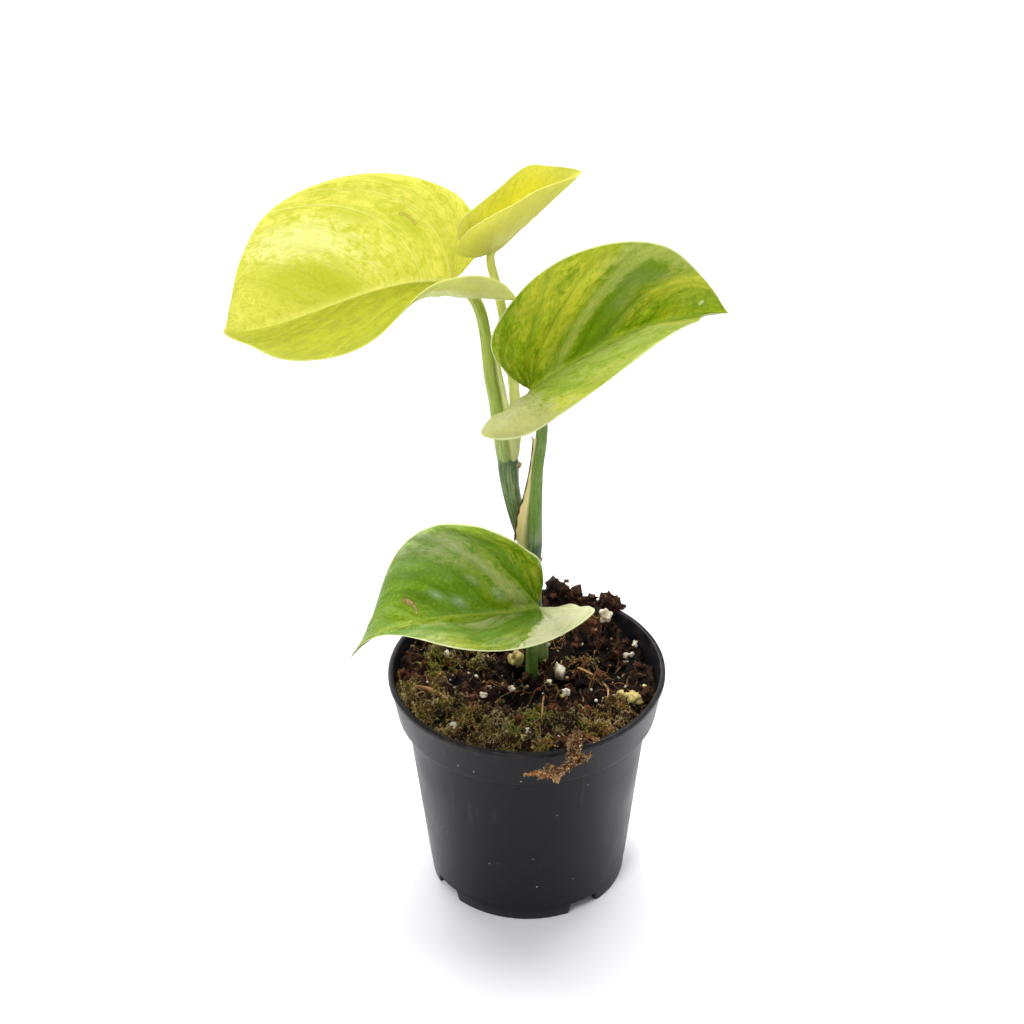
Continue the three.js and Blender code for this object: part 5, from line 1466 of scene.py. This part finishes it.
def fibre_strands():
    draw = random.Random(FIBRE_SEED)
    made = [(*strand(draw, path, 8, sides=8), 0.2) for path in FIBRES]
    for _ in range(FIBRE_COUNT):
        x, y = place_within(draw, FIBRE_REACH)
        heading, path, length = draw.uniform(0, 2 * math.pi), [], draw.uniform(*FIBRE_LENGTHS)
        thick = draw.uniform(*FIBRE_RADII)
        for k in range(FIBRE_STEPS):
            if math.hypot(x, y) > FIBRE_LIMIT:
                break
            z = soil_top(x, y) + 0.2 + draw.uniform(0, 0.8)
            path.append((x, y, z, thick * (1 - FIBRE_TAPER * k)))
            heading += draw.uniform(-FIBRE_TURN, FIBRE_TURN)
            x += length / FIBRE_STEPS * math.cos(heading)
            y += length / FIBRE_STEPS * math.sin(heading)
        if len(path) > 2:
            made.append((*strand(draw, path, 5, sides=5), draw.random()))
    return made


# Building the object
for leaf_name in LEAVES:
    add_blade(leaf_name)

stem_flesh = flesh("stem", STEM_STOPS, (146, 162, 112), (48, 72, 36))
add_tube("stem", MAIN_STEM, stem_flesh, stem_shape, replaced=["main_stem"])
nub_draw = random.Random(NUB_SEED)
nub_points, nub_faces, _ = joined([lump(nub_draw, nub[:3], nub[3], detail=3) for nub in NUBS])
nub_shader = Shader("nub")
nub_colour = nub_shader.mix(nub_shader.noise(nub_shader.place, 900), (96, 72, 52), (186, 170, 140))
add_mesh("stem_nubs", nub_points, nub_faces, nub_shader.finish(nub_colour, 0.7))

for stalk_name, stalk in STALKS.items():
    skin = flesh("flesh_" + stalk_name, stalk["stops"], stalk["streak"], stalk["dark"])
    path = stalk_path(stalk_name)
    add_tube("stalk_" + stalk_name, path, skin, stem_shape, replaced=["petiole_" + stalk_name])
    if "sheath" in stalk:
        skin = papery("sheath_" + stalk_name, **stalk["sheath_look"])
        add_tube("sheath_" + stalk_name, stalk["sheath"], skin, sheath_shape, sides=SHEATH_SIDES)
add_sheath_edge(papery("sheath_edge", (236, 220, 144), (250, 238, 182), dried=True))
rim_path = [(*place, RIM_RADIUS) for place in SHEATH_EDGE]
rim_skin = papery("sheath_rim", (64, 38, 24), (104, 68, 46))
add_tube("sheath_rim", rim_path, rim_skin, sides=RIM_SIDES, steps=RIM_STEPS)

add_pot()
add_soil()
add_grains()
moss = moss_material("moss", (122, 78, 40), (98, 106, 26), (222, 198, 142), (32, 20, 12))
add_strands("soil_moss", moss_strands(), moss)
fibres = moss_material("fibres", (158, 122, 76), (104, 66, 38), (200, 172, 122), (84, 54, 34))
add_strands("soil_fibres", fibre_strands(), fibres)
dried_moss = moss_material("dried_moss", (112, 60, 26), (178, 120, 60), (232, 208, 164), (88, 48, 20))
add_strands("dried_moss", tuft_strands(), dried_moss, replaced=["dried_moss_tuft"])

# The floor, the world, the lights and the camera
FLOOR_REACH = 3
SKY_LOW, SKY_HIGH = 1.25, 0.35
SKY_FROM, SKY_TO = 0.05, 0.55
corners = [(-FLOOR_REACH, -FLOOR_REACH), (FLOOR_REACH, -FLOOR_REACH), (FLOOR_REACH, FLOOR_REACH),
           (-FLOOR_REACH, FLOOR_REACH)]
floor_mesh = bpy.data.meshes.new("floor")
floor_mesh.from_pydata([(x, y, 0) for x, y in corners], [], [(0, 1, 2, 3)])
floor = bpy.data.objects.new("floor", floor_mesh)
bpy.context.scene.collection.objects.link(floor)
floor_shader = Shader("floor")
floor_colour = floor_shader.mix(floor_shader.noise(floor_shader.place, 3), (234, 234, 238), (238, 238, 241))
floor_mesh.materials.append(floor_shader.finish(floor_colour, 0.9, specular=0.1))

scene = bpy.context.scene
scene.view_settings.view_transform = "Standard"
world = bpy.data.worlds.new("studio")
world.use_nodes = True
sky = world.node_tree.nodes
sky_direction = sky.new("ShaderNodeTexCoord")
sky_split = sky.new("ShaderNodeSeparateXYZ")
sky_ramp = sky.new("ShaderNodeMapRange")
world.node_tree.links.new(sky_direction.outputs["Generated"], sky_split.inputs[0])
world.node_tree.links.new(sky_split.outputs[2], sky_ramp.inputs[0])
for socket, value in enumerate((SKY_FROM, SKY_TO, SKY_LOW, SKY_HIGH), 1):
    sky_ramp.inputs[socket].default_value = value
world.node_tree.links.new(sky_ramp.outputs[0], sky["Background"].inputs[1])
sky["Background"].inputs[0].default_value = (1, 1, 1, 1)
scene.world = world

# The lights: place and aim, size, and power.
LIGHTS = {
    "key": ((60, 240, 700), (0, 0, 100), (600, 500), 7),
    "back": ((-300, 520, 380), (0, 0, 130), (400, 300), 2.5),
    "front": ((-200, -420, 620), (0, 0, 100), (200, 200), 2.4),
}
for light_name, (light_place, aim, size, power) in LIGHTS.items():
    light = bpy.data.lights.new(light_name, "AREA")
    light.shape = "RECTANGLE"
    light.size, light.size_y = size[0] * MM, size[1] * MM
    light.energy = power
    lamp = bpy.data.objects.new(light_name, light)
    start, end = Vector(to_frame(light_place)), Vector(to_frame(aim))
    lamp.location = start
    lamp.rotation_euler = (end - start).to_track_quat("-Z", "Y").to_euler()
    scene.collection.objects.link(lamp)

camera_data = bpy.data.cameras.new("camera")
camera_data.sensor_width = SENSOR_MM
camera_data.lens = CAMERA_FOCAL_PIXELS / IMAGE_WIDTH * SENSOR_MM
camera_data.clip_start, camera_data.clip_end = 0.01, 20
camera = bpy.data.objects.new("camera", camera_data)
camera.matrix_world = (
    Matrix.Translation(Vector(to_frame(CAMERA_PLACE)))
    @ Matrix.Rotation(math.radians(90 - CAMERA_PITCH_DEGREES), 4, "X")
    @ Matrix.Rotation(math.radians(CAMERA_ROLL_DEGREES), 4, "Z")
)
scene.collection.objects.link(camera)
scene.camera = camera
